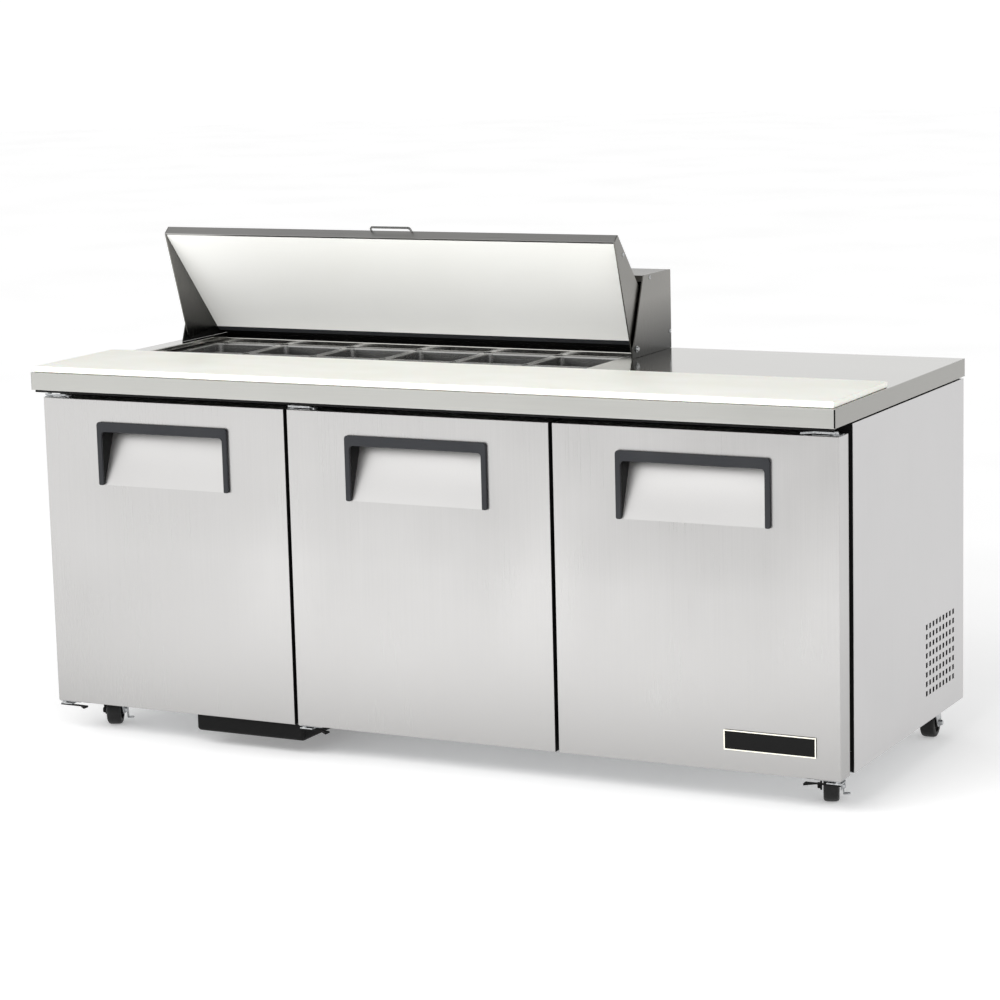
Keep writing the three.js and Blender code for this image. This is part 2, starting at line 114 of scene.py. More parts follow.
def ramp(tree, source, stops):
    """A value, as a colour between stops of a position and a hex code."""
    node = add(tree, "ShaderNodeValToRGB", None, {"Fac": source})
    elements = node.color_ramp.elements
    for i, (position, hex_code) in enumerate(stops):
        element = elements[i] if i < 2 else elements.new(position)
        element.position = position
        element.color = colour(hex_code)
    return node.outputs["Color"]


def tint(tree, source, dark, light):
    """A pattern's value, as a colour from dark to light."""
    return ramp(tree, source, ((0.3, dark), (0.7, light)))


def bump(tree, height, depth_mm, strength=1.0):
    """Relief of a real depth from a pattern."""
    return add(tree, "ShaderNodeBump", {"Strength": strength, "Distance": depth_mm * MM},
               {"Height": height}).outputs["Normal"]


def shade(material, tree, settings, links):
    """The surface shader that ends a material."""
    shader = add(tree, "ShaderNodeBsdfPrincipled", settings, links)
    add(tree, "ShaderNodeOutputMaterial", None, {"Surface": shader.outputs["BSDF"]})
    return material


def brushed_stainless(name, dark, light, roughness, grain, relief_mm=0.006, metallic=1.0, foot=None):
    """Stainless sheet with a belt-ground grain: satin, with faint streaks along the grain and soft broad
    patches from handling. The real grain is about 0.1 mm; it is drawn about 1.2 mm across so that it shows.
    foot is two heights and the darker tone below them: painted shade, for the dim ground that a wall mirrors
    at its foot."""
    material, tree, where = new_material(name)
    streak_size = [1.2, 1.2, 1.2]
    streak_size[grain] = 180
    streaks = noise(tree, where, streak_size, 4)
    patches = noise(tree, where, (260, 260, 260), 2)
    mixed = add(tree, "ShaderNodeMix", {"Factor": 0.55}, {"A": streaks, "B": patches}).outputs["Result"]
    spread = 0.4 * roughness ** 2 + 0.01
    rough = between(tree, mixed, roughness - spread, roughness + spread)
    sheet = tint(tree, mixed, dark, light)
    # Painted shade: the sheet darkens below the foot's upper height and reaches the given tone at its lower
    # one.
    if foot:
        low_z, high_z, shadow = foot
        height = add(tree, "ShaderNodeSeparateXYZ", None, {"Vector": where}).outputs["Z"]
        rise = between(tree, height, 0.0, 1.0, low_z * MM, high_z * MM)
        sheet = add(tree, "ShaderNodeMix", {"data_type": "RGBA", "A": colour(shadow)},
                    {0: rise, "B": sheet}).outputs[2]
    return shade(material, tree, {"Metallic": metallic},
                 {"Base Color": sheet, "Roughness": rough, "Normal": bump(tree, streaks, relief_mm)})


def moulded_plastic(name, dark, light, roughness, grit_mm=1.1, relief_mm=0.03):
    """Injection-moulded plastic with a fine spark-eroded texture: dull, with a soft sheen on its edges."""
    material, tree, where = new_material(name)
    grit = noise(tree, where, (grit_mm,) * 3, 2)
    clouds = noise(tree, where, (70, 70, 70), 3)
    return shade(material, tree, {"IOR": 1.45, "Specular IOR Level": 0.2},
                 {"Base Color": tint(tree, clouds, dark, light),
                  "Roughness": between(tree, clouds, roughness - 0.05, roughness + 0.05),
                  "Normal": bump(tree, grit, relief_mm)})


def polyethylene_board():
    """White high-density polyethylene, planed and lightly textured: milky, with a waxy soft shine and
    hair-thin knife marks along its length."""
    material, tree, where = new_material("white high-density polyethylene")
    grit = noise(tree, where, (1.6, 1.6, 1.6), 2)
    marks = noise(tree, where, (60, 1.0, 60), 5)
    clouds = noise(tree, where, (140, 90, 90), 3)
    relief = add(tree, "ShaderNodeMix", {"Factor": 0.3}, {"A": grit, "B": marks}).outputs["Result"]
    return shade(material, tree, {"IOR": 1.53, "Subsurface Weight": 0.12, "Subsurface Scale": 0.004},
                 {"Base Color": tint(tree, clouds, "#F4F4EA", "#FAFAF3"),
                  "Roughness": between(tree, clouds, 0.42, 0.55),
                  "Normal": bump(tree, relief, 0.04)})


def rubber(name, dark, light, roughness, grit_mm):
    """Moulded black rubber: almost matt, a little paler where it is dusty."""
    material, tree, where = new_material(name)
    dust = noise(tree, where, (18, 18, 18), 4)
    grit = noise(tree, where, (grit_mm,) * 3, 2)
    return shade(material, tree, {"IOR": 1.52, "Specular IOR Level": 0.3, "Sheen Weight": 0.06,
                                  "Sheen Roughness": 0.5},
                 {"Base Color": tint(tree, dust, dark, light),
                  "Roughness": between(tree, dust, roughness - 0.06, roughness + 0.06),
                  "Normal": bump(tree, grit, 0.05)})


def zinc_plate():
    """Bright zinc plating on pressed steel: silvery, with small crystals of slightly different shine."""
    material, tree, where = new_material("bright zinc plating")
    spread = add(tree, "ShaderNodeMapping", {"Scale": (1 / (4 * MM),) * 3}, {"Vector": where})
    crystals = add(tree, "ShaderNodeTexVoronoi", {"Scale": 1.0}, {"Vector": spread.outputs["Vector"]})
    shades = add(tree, "ShaderNodeSeparateColor", None, {"Color": crystals.outputs["Color"]}).outputs["Red"]
    scuffs = noise(tree, where, (9, 9, 9), 4)
    mixed = add(tree, "ShaderNodeMix", {"Factor": 0.6}, {"A": shades, "B": scuffs}).outputs["Result"]
    return shade(material, tree, {"Metallic": 1.0},
                 {"Base Color": tint(tree, mixed, "#9FA1A3", "#C9CBCC"),
                  "Roughness": between(tree, mixed, 0.24, 0.42), "Normal": bump(tree, scuffs, 0.02)})


def rolled_aluminium(name, dark, light, roughness, grain):
    """Mill-finish aluminium sheet: pale, with soft rolling lines along its length."""
    material, tree, where = new_material(name)
    line_size = [3.0, 3.0, 3.0]
    line_size[grain] = 300
    lines = noise(tree, where, line_size, 3)
    return shade(material, tree, {"Metallic": 1.0},
                 {"Base Color": tint(tree, lines, dark, light),
                  "Roughness": between(tree, lines, roughness - 0.06, roughness + 0.06),
                  "Normal": bump(tree, lines, 0.01)})


def powder_coat(name, dark, light, roughness):
    """Baked powder paint: even and slightly glossy, with a fine orange-peel surface."""
    material, tree, where = new_material(name)
    peel = noise(tree, where, (2.4, 2.4, 2.4), 2)
    clouds = noise(tree, where, (50, 50, 50), 2)
    return shade(material, tree, {"IOR": 1.5, "Coat Weight": 0.15, "Coat Roughness": 0.25},
                 {"Base Color": tint(tree, clouds, dark, light),
                  "Roughness": between(tree, clouds, roughness - 0.05, roughness + 0.05),
                  "Normal": bump(tree, peel, 0.03)})


X, Y, Z = 0, 1, 2
PANEL_STEEL = brushed_stainless("brushed stainless side sheet", "#C5C4C4", "#CECDCD", 0.32, Z)
# Door sheet: painted shade darkens it from 430 mm down to 80 mm, for the dim floor that it mirrors there.
DOOR_STEEL_PAINTED_FOOT_SHADE = brushed_stainless("brushed stainless door sheet, painted shade at foot", "#C1C0BF", "#C9C8C7", 0.3, Z, 0.004,
                               foot=(80, 430, "#ADACAB"))
# Painted light: the pocket's slope, pressed from the door sheet, takes its own lighter tone; its higher
# roughness softens the highlight there.
POCKET_STEEL_PAINTED_LIGHT = brushed_stainless("pressed stainless finger pocket, painted light", "#CDCCCB", "#D4D3D2", 0.42, Z, 0.004)
WORKTOP_STEEL = brushed_stainless("brushed stainless worktop", "#C9C8C4", "#D2D1CD", 0.12, X)
# Painted shade: the worktop's front and end faces take darker copies of the worktop steel; the front one is
# also rougher.
FRONT_FASCIA_PAINTED_SHADE = brushed_stainless("brushed stainless front fascia, painted shade", "#BBBBB7", "#C3C3BF", 0.34, X)
END_FASCIA_PAINTED_SHADE = brushed_stainless("brushed stainless end fascia, painted shade", "#9A9995", "#A3A29E", 0.3, Y)
# Painted shade: the hood and the lid's skin take a much darker copy of the stainless, darkening further from
# 935 mm down to 820 mm.
HOOD_STEEL_PAINTED_SHADE = brushed_stainless("brushed stainless hood sheet, painted shade", "#84837F", "#918F8B", 0.26, Z,
                               foot=(820, 935, "#2E2E2C"))
# Painted shade: the inward faces of the lid's side sheets take a still darker copy, with the same darkening
# towards the foot.
LID_SIDE_PAINTED_SHADE = brushed_stainless("brushed stainless lid side, painted shade", "#6C6B69", "#767573", 0.26, Z,
                                   foot=(820, 935, "#2A2A28"))
BAND_STEEL = brushed_stainless("brushed stainless lid edge", "#B4B3B1", "#BDBCBA", 0.3, X)
# Painted light: the lid liner is near white and almost without metal, standing in for the bright reflection
# that its satin stainless shows.
LINER_PAINTED_BRIGHT = brushed_stainless("satin stainless lid liner, painted bright", "#F8F8F4", "#FCFCF9", 0.5, X, 0.004, 0.03)
PAN_STEEL = brushed_stainless("drawn stainless pan", "#8C8C8B", "#989897", 0.26, X, 0.003)
STRAP_STEEL = brushed_stainless("polished stainless strap", "#8E8E8D", "#9C9C9B", 0.24, X, 0.003)
CABINET_ALUMINIUM = rolled_aluminium("rolled aluminium liner", "#C6C8CA", "#D4D6D8", 0.38, X)
FIN_ALUMINIUM = rolled_aluminium("bare aluminium fins", "#A9ACAE", "#C0C3C5", 0.42, Z)
COPPER = rolled_aluminium("drawn copper tube", "#B06A48", "#C27E5A", 0.3, X)
BOARD_WHITE = polyethylene_board()
CHARCOAL = moulded_plastic("charcoal ABS", "#26272A", "#2C2D2F", 0.5)
BLACK_PLASTIC = moulded_plastic("black ABS", "#050505", "#0A0A0A", 0.6)
PLATE_BLACK = moulded_plastic("black printed label stock", "#080808", "#0C0C0C", 0.5, 0.8, 0.01)
PLATE_PALE = moulded_plastic("pale label border", "#EDEADB", "#F4F1E4", 0.4, 0.8, 0.01)
GASKET = rubber("black gasket vinyl", "#0B0B0B", "#141414", 0.6, 1.4)
TREAD = rubber("black polyurethane tread", "#0D0D0D", "#151515", 0.55, 1.0)
ZINC = zinc_plate()
WIRE_COAT = powder_coat("white epoxy wire coating", "#DEDFDC", "#E9EAE7", 0.35)
MACHINE_PAINT = powder_coat("black machine enamel", "#131314", "#1B1B1C", 0.38)


# ---- shape tools, in millimetres ----
# An edge's least angle in radians, to be taken for a fold or for a square corner.
SHARP, SQUARE = 0.5, 1.2


def box_mm(node):
    """The lowest and highest corner of a frame node, in millimetres."""
    low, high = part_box(node)
    return low / MM, high / MM


def bevel(bm, geom, radius, segments=2, affect="EDGES", mat=-1):
    """Rounded edges, or the rounded corners of a flat outline."""
    bmesh.ops.bevel(bm, geom=geom, offset=radius, offset_type="OFFSET", segments=segments, profile=0.5,
                    affect=affect, clamp_overlap=True, material=mat)


def reach(edge, axis):
    """How far an edge reaches along an axis."""
    return abs(edge.verts[0].co[axis] - edge.verts[1].co[axis])


def new_verts(made):
    """The corners that an extrusion made."""
    return [g for g in made["geom"] if isinstance(g, bmesh.types.BMVert)]


def spaced(low, high, count):
    """Evenly spaced places from low to high."""
    return [low + (high - low) * i / (count - 1) for i in range(count)]


def rectangle(us, vs):
    """The outline of a rectangle."""
    return [(us[0], vs[0]), (us[1], vs[0]), (us[1], vs[1]), (us[0], vs[1])]


def closed(bm, mat):
    """Outward faces and one material, for a finished solid."""
    bmesh.ops.recalc_face_normals(bm, faces=bm.faces)
    for face in bm.faces:
        face.material_index = mat
    return bm


def block(low, high, radius=0.0, segments=2, mat=0):
    """A box between two corners with rounded edges."""
    bm = bmesh.new()
    bmesh.ops.create_cube(bm, size=1)
    bmesh.ops.scale(bm, vec=Vector(high) - Vector(low), verts=bm.verts)
    bmesh.ops.translate(bm, vec=(Vector(high) + Vector(low)) / 2, verts=bm.verts)
    if radius:
        bevel(bm, bm.edges[:], radius, segments)
    return closed(bm, mat)


AXES = {
    "x": Matrix(((0, 0, 1, 0), (1, 0, 0, 0), (0, 1, 0, 0), (0, 0, 0, 1))),
    "y": Matrix(((1, 0, 0, 0), (0, 0, 1, 0), (0, 1, 0, 0), (0, 0, 0, 1))),
    "z": Matrix.Identity(4),
}


def push(bm, axis, start, end, rim, segments, mat):
    """Thickness for a flat face drawn in the plane z = 0, rounded rims, and its turn onto the axis: along x
    the drawing lies in (y, z), along y in (x, z), along z in (x, y)."""
    bmesh.ops.translate(bm, vec=(0, 0, start), verts=bm.verts)
    made = bmesh.ops.extrude_face_region(bm, geom=bm.faces[:])
    bmesh.ops.translate(bm, vec=(0, 0, end - start), verts=new_verts(made))
    bmesh.ops.recalc_face_normals(bm, faces=bm.faces)
    if rim:
        level = [e for e in bm.edges if e.calc_face_angle(0) > SHARP and reach(e, Z) < 1e-6]
        bevel(bm, level, rim, segments)
    bmesh.ops.transform(bm, matrix=AXES[axis], verts=bm.verts)
    return closed(bm, mat)


def slab(outline, axis, start, end, corners=None, rim=0.0, segments=2, mat=0):
    """An outline pushed along an axis. corners gives radii and the outline points that they round."""
    bm = bmesh.new()
    verts = [bm.verts.new((a, b, 0)) for a, b in outline]
    bm.faces.new(verts)
    for radius, which in (corners or {}).items():
        bevel(bm, [verts[i] for i in which], radius, 5, "VERTICES")
    return push(bm, axis, start, end, rim, segments, mat)


def lattice(us, vs, holes, axis, start, end, rim=0.0, segments=2, mat=0):
    """A plate ruled by two lists of lines, less the cells (column, row) in holes."""
    bm = bmesh.new()
    columns, rows = len(us) - 1, len(vs) - 1
    bmesh.ops.create_grid(bm, x_segments=columns, y_segments=rows, size=0.5)
    middles = {f: f.calc_center_median() for f in bm.faces}
    cells = {f: (int((m.x + 0.5) * columns), int((m.y + 0.5) * rows)) for f, m in middles.items()}
    for v in bm.verts:
        v.co = (us[round((v.co.x + 0.5) * columns)], vs[round((v.co.y + 0.5) * rows)], 0)
    gone = [f for f, cell in cells.items() if cell in holes]
    bmesh.ops.delete(bm, geom=gone, context="FACES")
    return push(bm, axis, start, end, rim, segments, mat)


def ring(us, vs, width, axis, start, end, rim=0.0, segments=2, mat=0):
    """A rectangular ring of one width."""
    lines = [[low, low + width, high - width, high] for low, high in (us, vs)]
    return lattice(*lines, {(1, 1)}, axis, start, end, rim, segments, mat)


def turned(centre, axis, profile, steps=32, mat=0):
    """A profile of (radius, height) points turned round an axis, from pole to pole or back to its start."""
    bm = bmesh.new()
    verts = [bm.verts.new((r, 0, h)) for r, h in profile]
    edges = [bm.edges.new(pair) for pair in zip(verts, verts[1:])]
    bmesh.ops.spin(bm, geom=verts + edges, cent=(0, 0, 0), axis=(0, 0, 1), angle=math.tau, steps=steps,
                   use_merge=True)
    bmesh.ops.remove_doubles(bm, verts=bm.verts, dist=1e-4)
    tilt = Vector((0, 0, 1)).rotation_difference(Vector(axis)).to_matrix().to_4x4()
    bmesh.ops.transform(bm, matrix=Matrix.Translation(Vector(centre)) @ tilt, verts=bm.verts)
    return closed(bm, mat)


def rod(start, end, radius, sides=16, rim=0.0, mat=0):
    """A round bar between two points."""
    along = Vector(end) - Vector(start)
    length = along.length
    wall = [(radius, 0), (radius, length)]
    if rim:
        wall = [(radius - rim, 0), (radius, rim), (radius, length - rim), (radius - rim, length)]
    return turned(start, along, [(0, 0), *wall, (0, length)], sides, mat)


def pipe(points, radius, mat=0):
    """A bent tube along a smooth path."""
    curve = bpy.data.curves.new("path", "CURVE")
    curve.dimensions = "3D"
    curve.bevel_depth = radius
    curve.bevel_resolution = 2
    curve.use_fill_caps = True
    spline = curve.splines.new("NURBS")
    spline.points.add(len(points) - 1)
    for point, place in zip(spline.points, points):
        point.co = (*place, 1)
    spline.order_u = 3
    spline.use_endpoint_u = True
    spline.resolution_u = 6
    holder = bpy.data.objects.new("path", curve)
    bm = bmesh.new()
    bm.from_mesh(holder.to_mesh())
    holder.to_mesh_clear()
    bpy.data.objects.remove(holder)
    bpy.data.curves.remove(curve)
    bmesh.ops.remove_doubles(bm, verts=bm.verts, dist=1e-3)
    return closed(bm, mat)


def subtract(bm, cutter):
    """One solid less another."""
    objects = []
    for part in (bm, cutter):
        mesh = bpy.data.meshes.new("solid")
        part.to_mesh(mesh)
        part.free()
        obj = bpy.data.objects.new("solid", mesh)
        bpy.context.scene.collection.objects.link(obj)
        objects.append(obj)
    body, tool = objects
    cut = body.modifiers.new("cut", "BOOLEAN")
    cut.operation = "DIFFERENCE"
    cut.solver = "EXACT"
    cut.object = tool
    bpy.context.view_layer.update()
    result = bmesh.new()
    evaluated = body.evaluated_get(bpy.context.evaluated_depsgraph_get())
    result.from_mesh(evaluated.to_mesh())
    evaluated.to_mesh_clear()
    for obj in objects:
        mesh = obj.data
        bpy.data.objects.remove(obj)
        bpy.data.meshes.remove(mesh)
    return result


def moved(bm, matrix):
    """The same shape, put in its place."""
    bmesh.ops.transform(bm, matrix=matrix, verts=bm.verts)
    return bm


def piece(name, parts, body, materials, nodes=()):
    """The finished piece: its parts as one mesh in metres, riding on a body in place of some frame nodes."""
    whole = bmesh.new()
    for part in parts:
        carrier = bpy.data.meshes.new("part")
        part.to_mesh(carrier)
        part.free()
        whole.from_mesh(carrier)
        bpy.data.meshes.remove(carrier)
    bmesh.ops.scale(whole, vec=(MM, MM, MM), verts=whole.verts)
    mesh = bpy.data.meshes.new(name)
    whole.to_mesh(mesh)
    whole.free()
    mesh.shade_smooth()
    mesh.set_sharp_from_angle(angle=math.radians(40))
    for material in materials:
        mesh.materials.append(material)
    obj = bpy.data.objects.new(name, mesh)
    bpy.context.scene.collection.objects.link(obj)
    shading = obj.modifiers.new("flat faces stay flat", "WEIGHTED_NORMAL")
    shading.mode = "FACE_AREA"
    shading.keep_sharp = True
    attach(obj, body)
    if nodes:
        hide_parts(*nodes)
    return obj


def screw(centre, axis, radius=4.0, height=1.6, mat=0):
    """A pan-head screw with a round recess, standing on a face."""
    head = ((0, 0), (1, 0), (0.94, 0.55), (0.6, 0.92), (0.28, 1), (0.2, 0.55), (0, 0.5))
    return turned(centre, axis, [(radius * r, height * h) for r, h in head], 20, mat)


# ---- cabinet ----
CABINET = "cabinet"
SKIN = 1.5
BASE_HEIGHT = 45
BASE_BOTTOM = 82.0
FRAME_FRONT, FRAME_BACK = -281.6, -241.6
RAIL_BOTTOM = 718.0
MULLION_X = 305.75


def grid_lines(low, high, first, pitch, width, count):
    """Lines at both edges of every hole of a row, between the plate's own edges."""
    edges = [first + i * pitch + side for i in range(count) for side in (-width / 2, width / 2)]
    return [low, *edges, high]


def hole_cells(columns, rows):
    """The cells of such a grid that are holes."""
    return {(2 * i + 1, 2 * j + 1) for i in range(columns) for j in range(rows)}


def opening_lines(low, high, inner_low, inner_high):
    """The lines of a plate with an opening round another box."""
    gap = 0.3
    return [[low[i], inner_low[i] - gap, inner_high[i] + gap, high[i]] for i in (X, Y)]


def make_walls():
    """Side panels: an outer skin folded round the rear edge, a black breaker core and an inner liner."""
    materials = [PANEL_STEEL, BLACK_PLASTIC, CABINET_ALUMINIUM]
    low, high = box_mm("left_wall")
    inner = high.y - SKIN - 0.2
    core_x = low.x + SKIN + 0.1
    piece("left_side_panel", [
        block(low, (low.x + SKIN, high.y, high.z), 0.6),
        block((core_x, high.y - SKIN, low.z + 1), (high.x - 0.2, high.y, high.z - 1), 0.4),
        block((core_x, low.y + 1, low.z + 1), (high.x - 1.1, inner, high.z - 1), 0.5, mat=1),
        block((high.x - 1, low.y, low.z + BASE_HEIGHT), (high.x, inner, high.z), 0.4, mat=2),
    ], CABINET, materials, ["left_wall"])

    low, high = box_mm("right_wall")
    core_x = high.x - SKIN - 0.1
    columns, rows, vent = 9, 8, 11
    ys = grid_lines(low.y, high.y, 145, 21, vent, columns)
    zs = grid_lines(low.z, high.z, 144, 20, vent, rows)
    window_y, window_z = [ys[1] - 6, ys[-2] + 6], [zs[1] - 6, zs[-2] + 6]
    core = [low.y + 1, *window_y, inner], [low.z + 1, *window_z, high.z - 1]
    liner = [low.y, *window_y, inner], [low.z + BASE_HEIGHT, *window_z, high.z]
    piece("right_side_panel", [
        lattice(ys, zs, hole_cells(columns, rows), "x", high.x - SKIN, high.x, 0.45),
        block((low.x + 0.2, high.y - SKIN, low.z + 1), (core_x, high.y, high.z - 1), 0.4),
        lattice(*core, {(1, 1)}, "x", low.x + 1.1, core_x, mat=1),
        lattice(*liner, {(1, 1)}, "x", low.x, low.x + 1, mat=2),
    ], CABINET, materials, ["right_wall"])


def make_rear():
    """Galvanised back with a louvred service cover over the machine compartment."""
    low, high = box_mm("rear_wall")
    parts = [block((low.x, low.y + 1.2, low.z), (high.x, high.y - 0.8, high.z), 0.6, mat=1),
             block((low.x + 1, low.y, low.z + BASE_HEIGHT), (high.x - 1, low.y + 1, high.z - 1), 0.4)]
    slots, rows = 4, 9
    cover_x, cover_z = (330.0, 862.0), (96.0, 372.0)
    xs = grid_lines(*cover_x, cover_x[0] + 80, 124, 96, slots)
    zs = grid_lines(*cover_z, cover_z[0] + 38, 24, 8, rows)
    parts.append(lattice(xs, zs, hole_cells(slots, rows), "y", high.y - 0.7, high.y + 0.9, 0.4, 1))
    root, tip = high.y - 0.6, high.y + 2.8
    for x0, x1 in zip(xs[1:-1:2], xs[2::2]):
        for z in zs[1:-1:2]:
            outline = [(root, z + 8), (tip, z + 1.5), (tip, z + 0.4), (root, z + 6.6)]
            parts.append(slab(outline, "x", x0 + 0.3, x1 - 0.3))
    fixings = [(x, high.y + 0.9, z) for x in (cover_x[0] + 10, sum(cover_x) / 2, cover_x[1] - 10)
               for z in (cover_z[0] + 9, cover_z[1] - 9)]
    fixings += [(x, high.y - 0.8, z) for x in (low.x + 14, low.x + 300, low.x + 600, 0, 250)
                for z in (low.z + 10, high.z - 12)]
    parts += [screw(place, (0, 1, 0), 4, 1.4, 2) for place in fixings]
    piece("back_panel", parts, CABINET, [CABINET_ALUMINIUM, ZINC, ZINC], ["rear_wall"])


DOORS = {
    "left": ("door_left", -1),
    "middle": ("door_middle", -1),
    "right": ("door_right", 1),
}
HINGE_REACH = 74
HINGE_INSET = 10


def door_edge(name):
    """The x of a door's hinged edge, and the direction from it into the door."""
    low, high = box_mm(f"door_{name}_panel")
    side = DOORS[name][1]
    return (high.x if side > 0 else low.x), -side


def hinge(name, z0, z1, mat, knuckle_z, knuckle, knuckle_mat):
    """A pressed plate under or over a door, with a rounded nose, and the knuckle on its pin."""
    edge, inward = door_edge(name)
    door_low, _ = box_mm(f"door_{name}_panel")
    front, back = door_low.y + 5, box_mm("face_frame")[0].y - 0.8
    root, tip = edge + inward * 2, edge + inward * HINGE_REACH
    outline = [(root, front), (edge + inward * 52, front), (tip, back - 18), (tip, back), (root, back)]
    pin = (edge + inward * HINGE_INSET, door_low.y + HINGE_INSET, knuckle_z)
    return [slab(outline, "z", z0, z1, {6: [0, 1], 4: [2]}, 0.6, 1, mat),
            turned(pin, (0, 0, 1), knuckle, 24, knuckle_mat)]


def make_face_frame():
    """The frame that the doors close on and its mullions, black as painted shade for the dark gaps round the
    doors;
    the strip under the worktop's fascia, black as a painted shadow line; and the upper hinge plates."""
    low, high = box_mm("face_frame")
    floor_z = box_mm("cabinet_floor")[1].z
    top_low, top_high = box_mm("worktop")
    shadow_strip_y = top_low.y + 30
    # Painted shade: the frame and its mullions are black for the dark gaps round the doors, and the thin
    # strip under the fascia is a painted shadow line.
    parts = [
        block((low.x, FRAME_FRONT, RAIL_BOTTOM), (high.x, FRAME_BACK, high.z), 1.0),
        block((top_low.x + 8, top_low.y + 4, top_low.z - 5), (top_high.x - 8, shadow_strip_y, top_low.z - 0.3), 0.8),
    ]
    for x in (-MULLION_X, MULLION_X):
        parts += [
            block((x - 19, FRAME_FRONT, floor_z + 0.3), (x + 19, FRAME_BACK, RAIL_BOTTOM - 0.1), 1.2),
            block((x - 12, FRAME_FRONT - 0.4, floor_z + 3), (x + 12, FRAME_FRONT + 2, RAIL_BOTTOM - 2), 0.8),
        ]
    plate_z = 761.5
    knuckle = [(0, 0), (7, 0), (7, 2.4), (4.5, 2.8), (4.5, 8.2), (0, 8.2)]
    for name in DOORS:
        parts += hinge(name, plate_z - 4, plate_z, 1, 754.2, knuckle, 1)
        edge, inward = door_edge(name)
        for along in (34, 60):
            parts.append(screw((edge + inward * along, FRAME_FRONT - 14, plate_z), (0, 0, 1), 5, 2.2, 1))
    piece("breaker_frame", parts, CABINET, [BLACK_PLASTIC, ZINC], ["face_frame"])


def make_floor():
    """The insulated floor, with its black front edge and the lower hinge plates."""
    low, high = box_mm("cabinet_floor")
    parts = [
        block((low.x, FRAME_FRONT + 0.2, BASE_BOTTOM), (high.x, high.y, high.z - 1.2), 1.0, mat=1),
        block((low.x + 1, FRAME_FRONT + 6, high.z - 1), (high.x - 1, high.y - 1, high.z), 0.4, 1),
        block((low.x, FRAME_FRONT - 0.2, BASE_BOTTOM + 2), (high.x, FRAME_FRONT + 4, high.z - 2), 0.8, mat=2),
    ]
    plate_z = 74.0
    knuckle = [(0, 0), (6, 0), (6, 1.8), (4.5, 2.2), (4.5, 5.8), (0, 5.8)]
    for name in DOORS:
        parts += hinge(name, low.z, plate_z, 2, plate_z + 0.6, knuckle, 3)
        edge, inward = door_edge(name)
        front = box_mm(f"door_{name}_panel")[0].y + 4
        x0, x1 = sorted([edge + inward * 1.5, edge + inward * 32])
        parts.append(block((x0, front, plate_z - 1.6), (x1, front + 30, plate_z + 1.4), 1.0, mat=3))
        x0, x1 = sorted([edge + inward * 45, edge + inward * HINGE_REACH])
        parts.append(block((x0, FRAME_FRONT - 1.4, low.z), (x1, FRAME_FRONT + 2, BASE_BOTTOM + 3), 0.6, 1, 2))
    piece("cabinet_base", parts, CABINET, [CABINET_ALUMINIUM, ZINC, BLACK_PLASTIC, ZINC],
          ["cabinet_floor"])


def make_drip_pan():
    """A vacuum-formed condensate pan with soft corners."""
    low, high = box_mm("drip_pan")
    foot_y = 150
    outline = [(low.y, high.z), (low.y, low.z), (foot_y, low.z), (high.y, high.z)]
    pan = slab(outline, "x", low.x, high.x, {9: [1, 2]})
    sides = [e for e in pan.edges if e.calc_face_angle(0) > SHARP and reach(e, X) < 0.01
             and min(v.co.z for v in e.verts) < high.z - 1]
    bevel(pan, sides, 12, 4)
    closed(pan, 0)
    lip = ring((low.x, high.x), (low.y, high.y - 6), 7, "z", high.z - 3, high.z, 0.9)
    piece("condensate_pan", [pan, lip], CABINET, [BLACK_PLASTIC], ["drip_pan"])


# ---- worktop ----
def make_worktop():
    """Folded sheet with a square front fascia: the side fascias meet it at a dark sealed seam."""
    low, high = box_mm("worktop")
    bm = lattice(*opening_lines(low, high, *box_mm("pan_frame")), {(1, 1)}, "z", low.z, high.z, 1.6, 3)
    corners = [e for e in bm.edges if reach(e, Z) > 20
               and all(abs(abs(v.co[i]) - high[i]) < 0.01 for v in e.verts for i in (X, Y))]
    bevel(bm, corners, 2.4, 1, mat=1)
    # Painted shade: end faces take the much darker end steel, and the front face the darker front steel.
    for face in bm.faces:
        for axis, mat in ((X, 2), (Y, 3)):
            if abs(face.normal[axis]) > 0.9 and abs(face.calc_center_median()[axis]) > high[axis] - 1:
                face.material_index = mat
    piece("worktop_sheet", [bm], CABINET,
          [WORKTOP_STEEL, BLACK_PLASTIC, END_FASCIA_PAINTED_SHADE, FRONT_FASCIA_PAINTED_SHADE], ["worktop"])


def make_pan_rail():
    """The black frame of the rail's opening, and the bars that carry the pans."""
    low, high = box_mm("pan_frame")
    bar_low, bar_high = box_mm("pan_dividers")
    lines = opening_lines(low, high, bar_low, bar_high)
    piece("rail_frame", [lattice(*lines, {(1, 1)}, "z", low.z, high.z, 0.8)], CABINET,
          [BLACK_PLASTIC], ["pan_frame"])

    pitch = box_mm("pan_front_2")[0].x - box_mm("pan_front_1")[0].x
    middle = (bar_low + bar_high) / 2
    half = 2.5
    bars = [(bar_low.x, middle.y - half, bar_high.x, middle.y + half)]
    for i in range(-2, 3):
        x0, x1 = middle.x + i * pitch - half, middle.x + i * pitch + half
        bars += [(x0, bar_low.y, x1, middle.y - half - 0.2), (x0, middle.y + half + 0.2, x1, bar_high.y)]
    parts = [block((x0, y0, bar_low.z), (x1, y1, bar_high.z), 0.8) for x0, y0, x1, y1 in bars]
    piece("divider_bars", parts, CABINET, [PAN_STEEL], ["pan_dividers"])


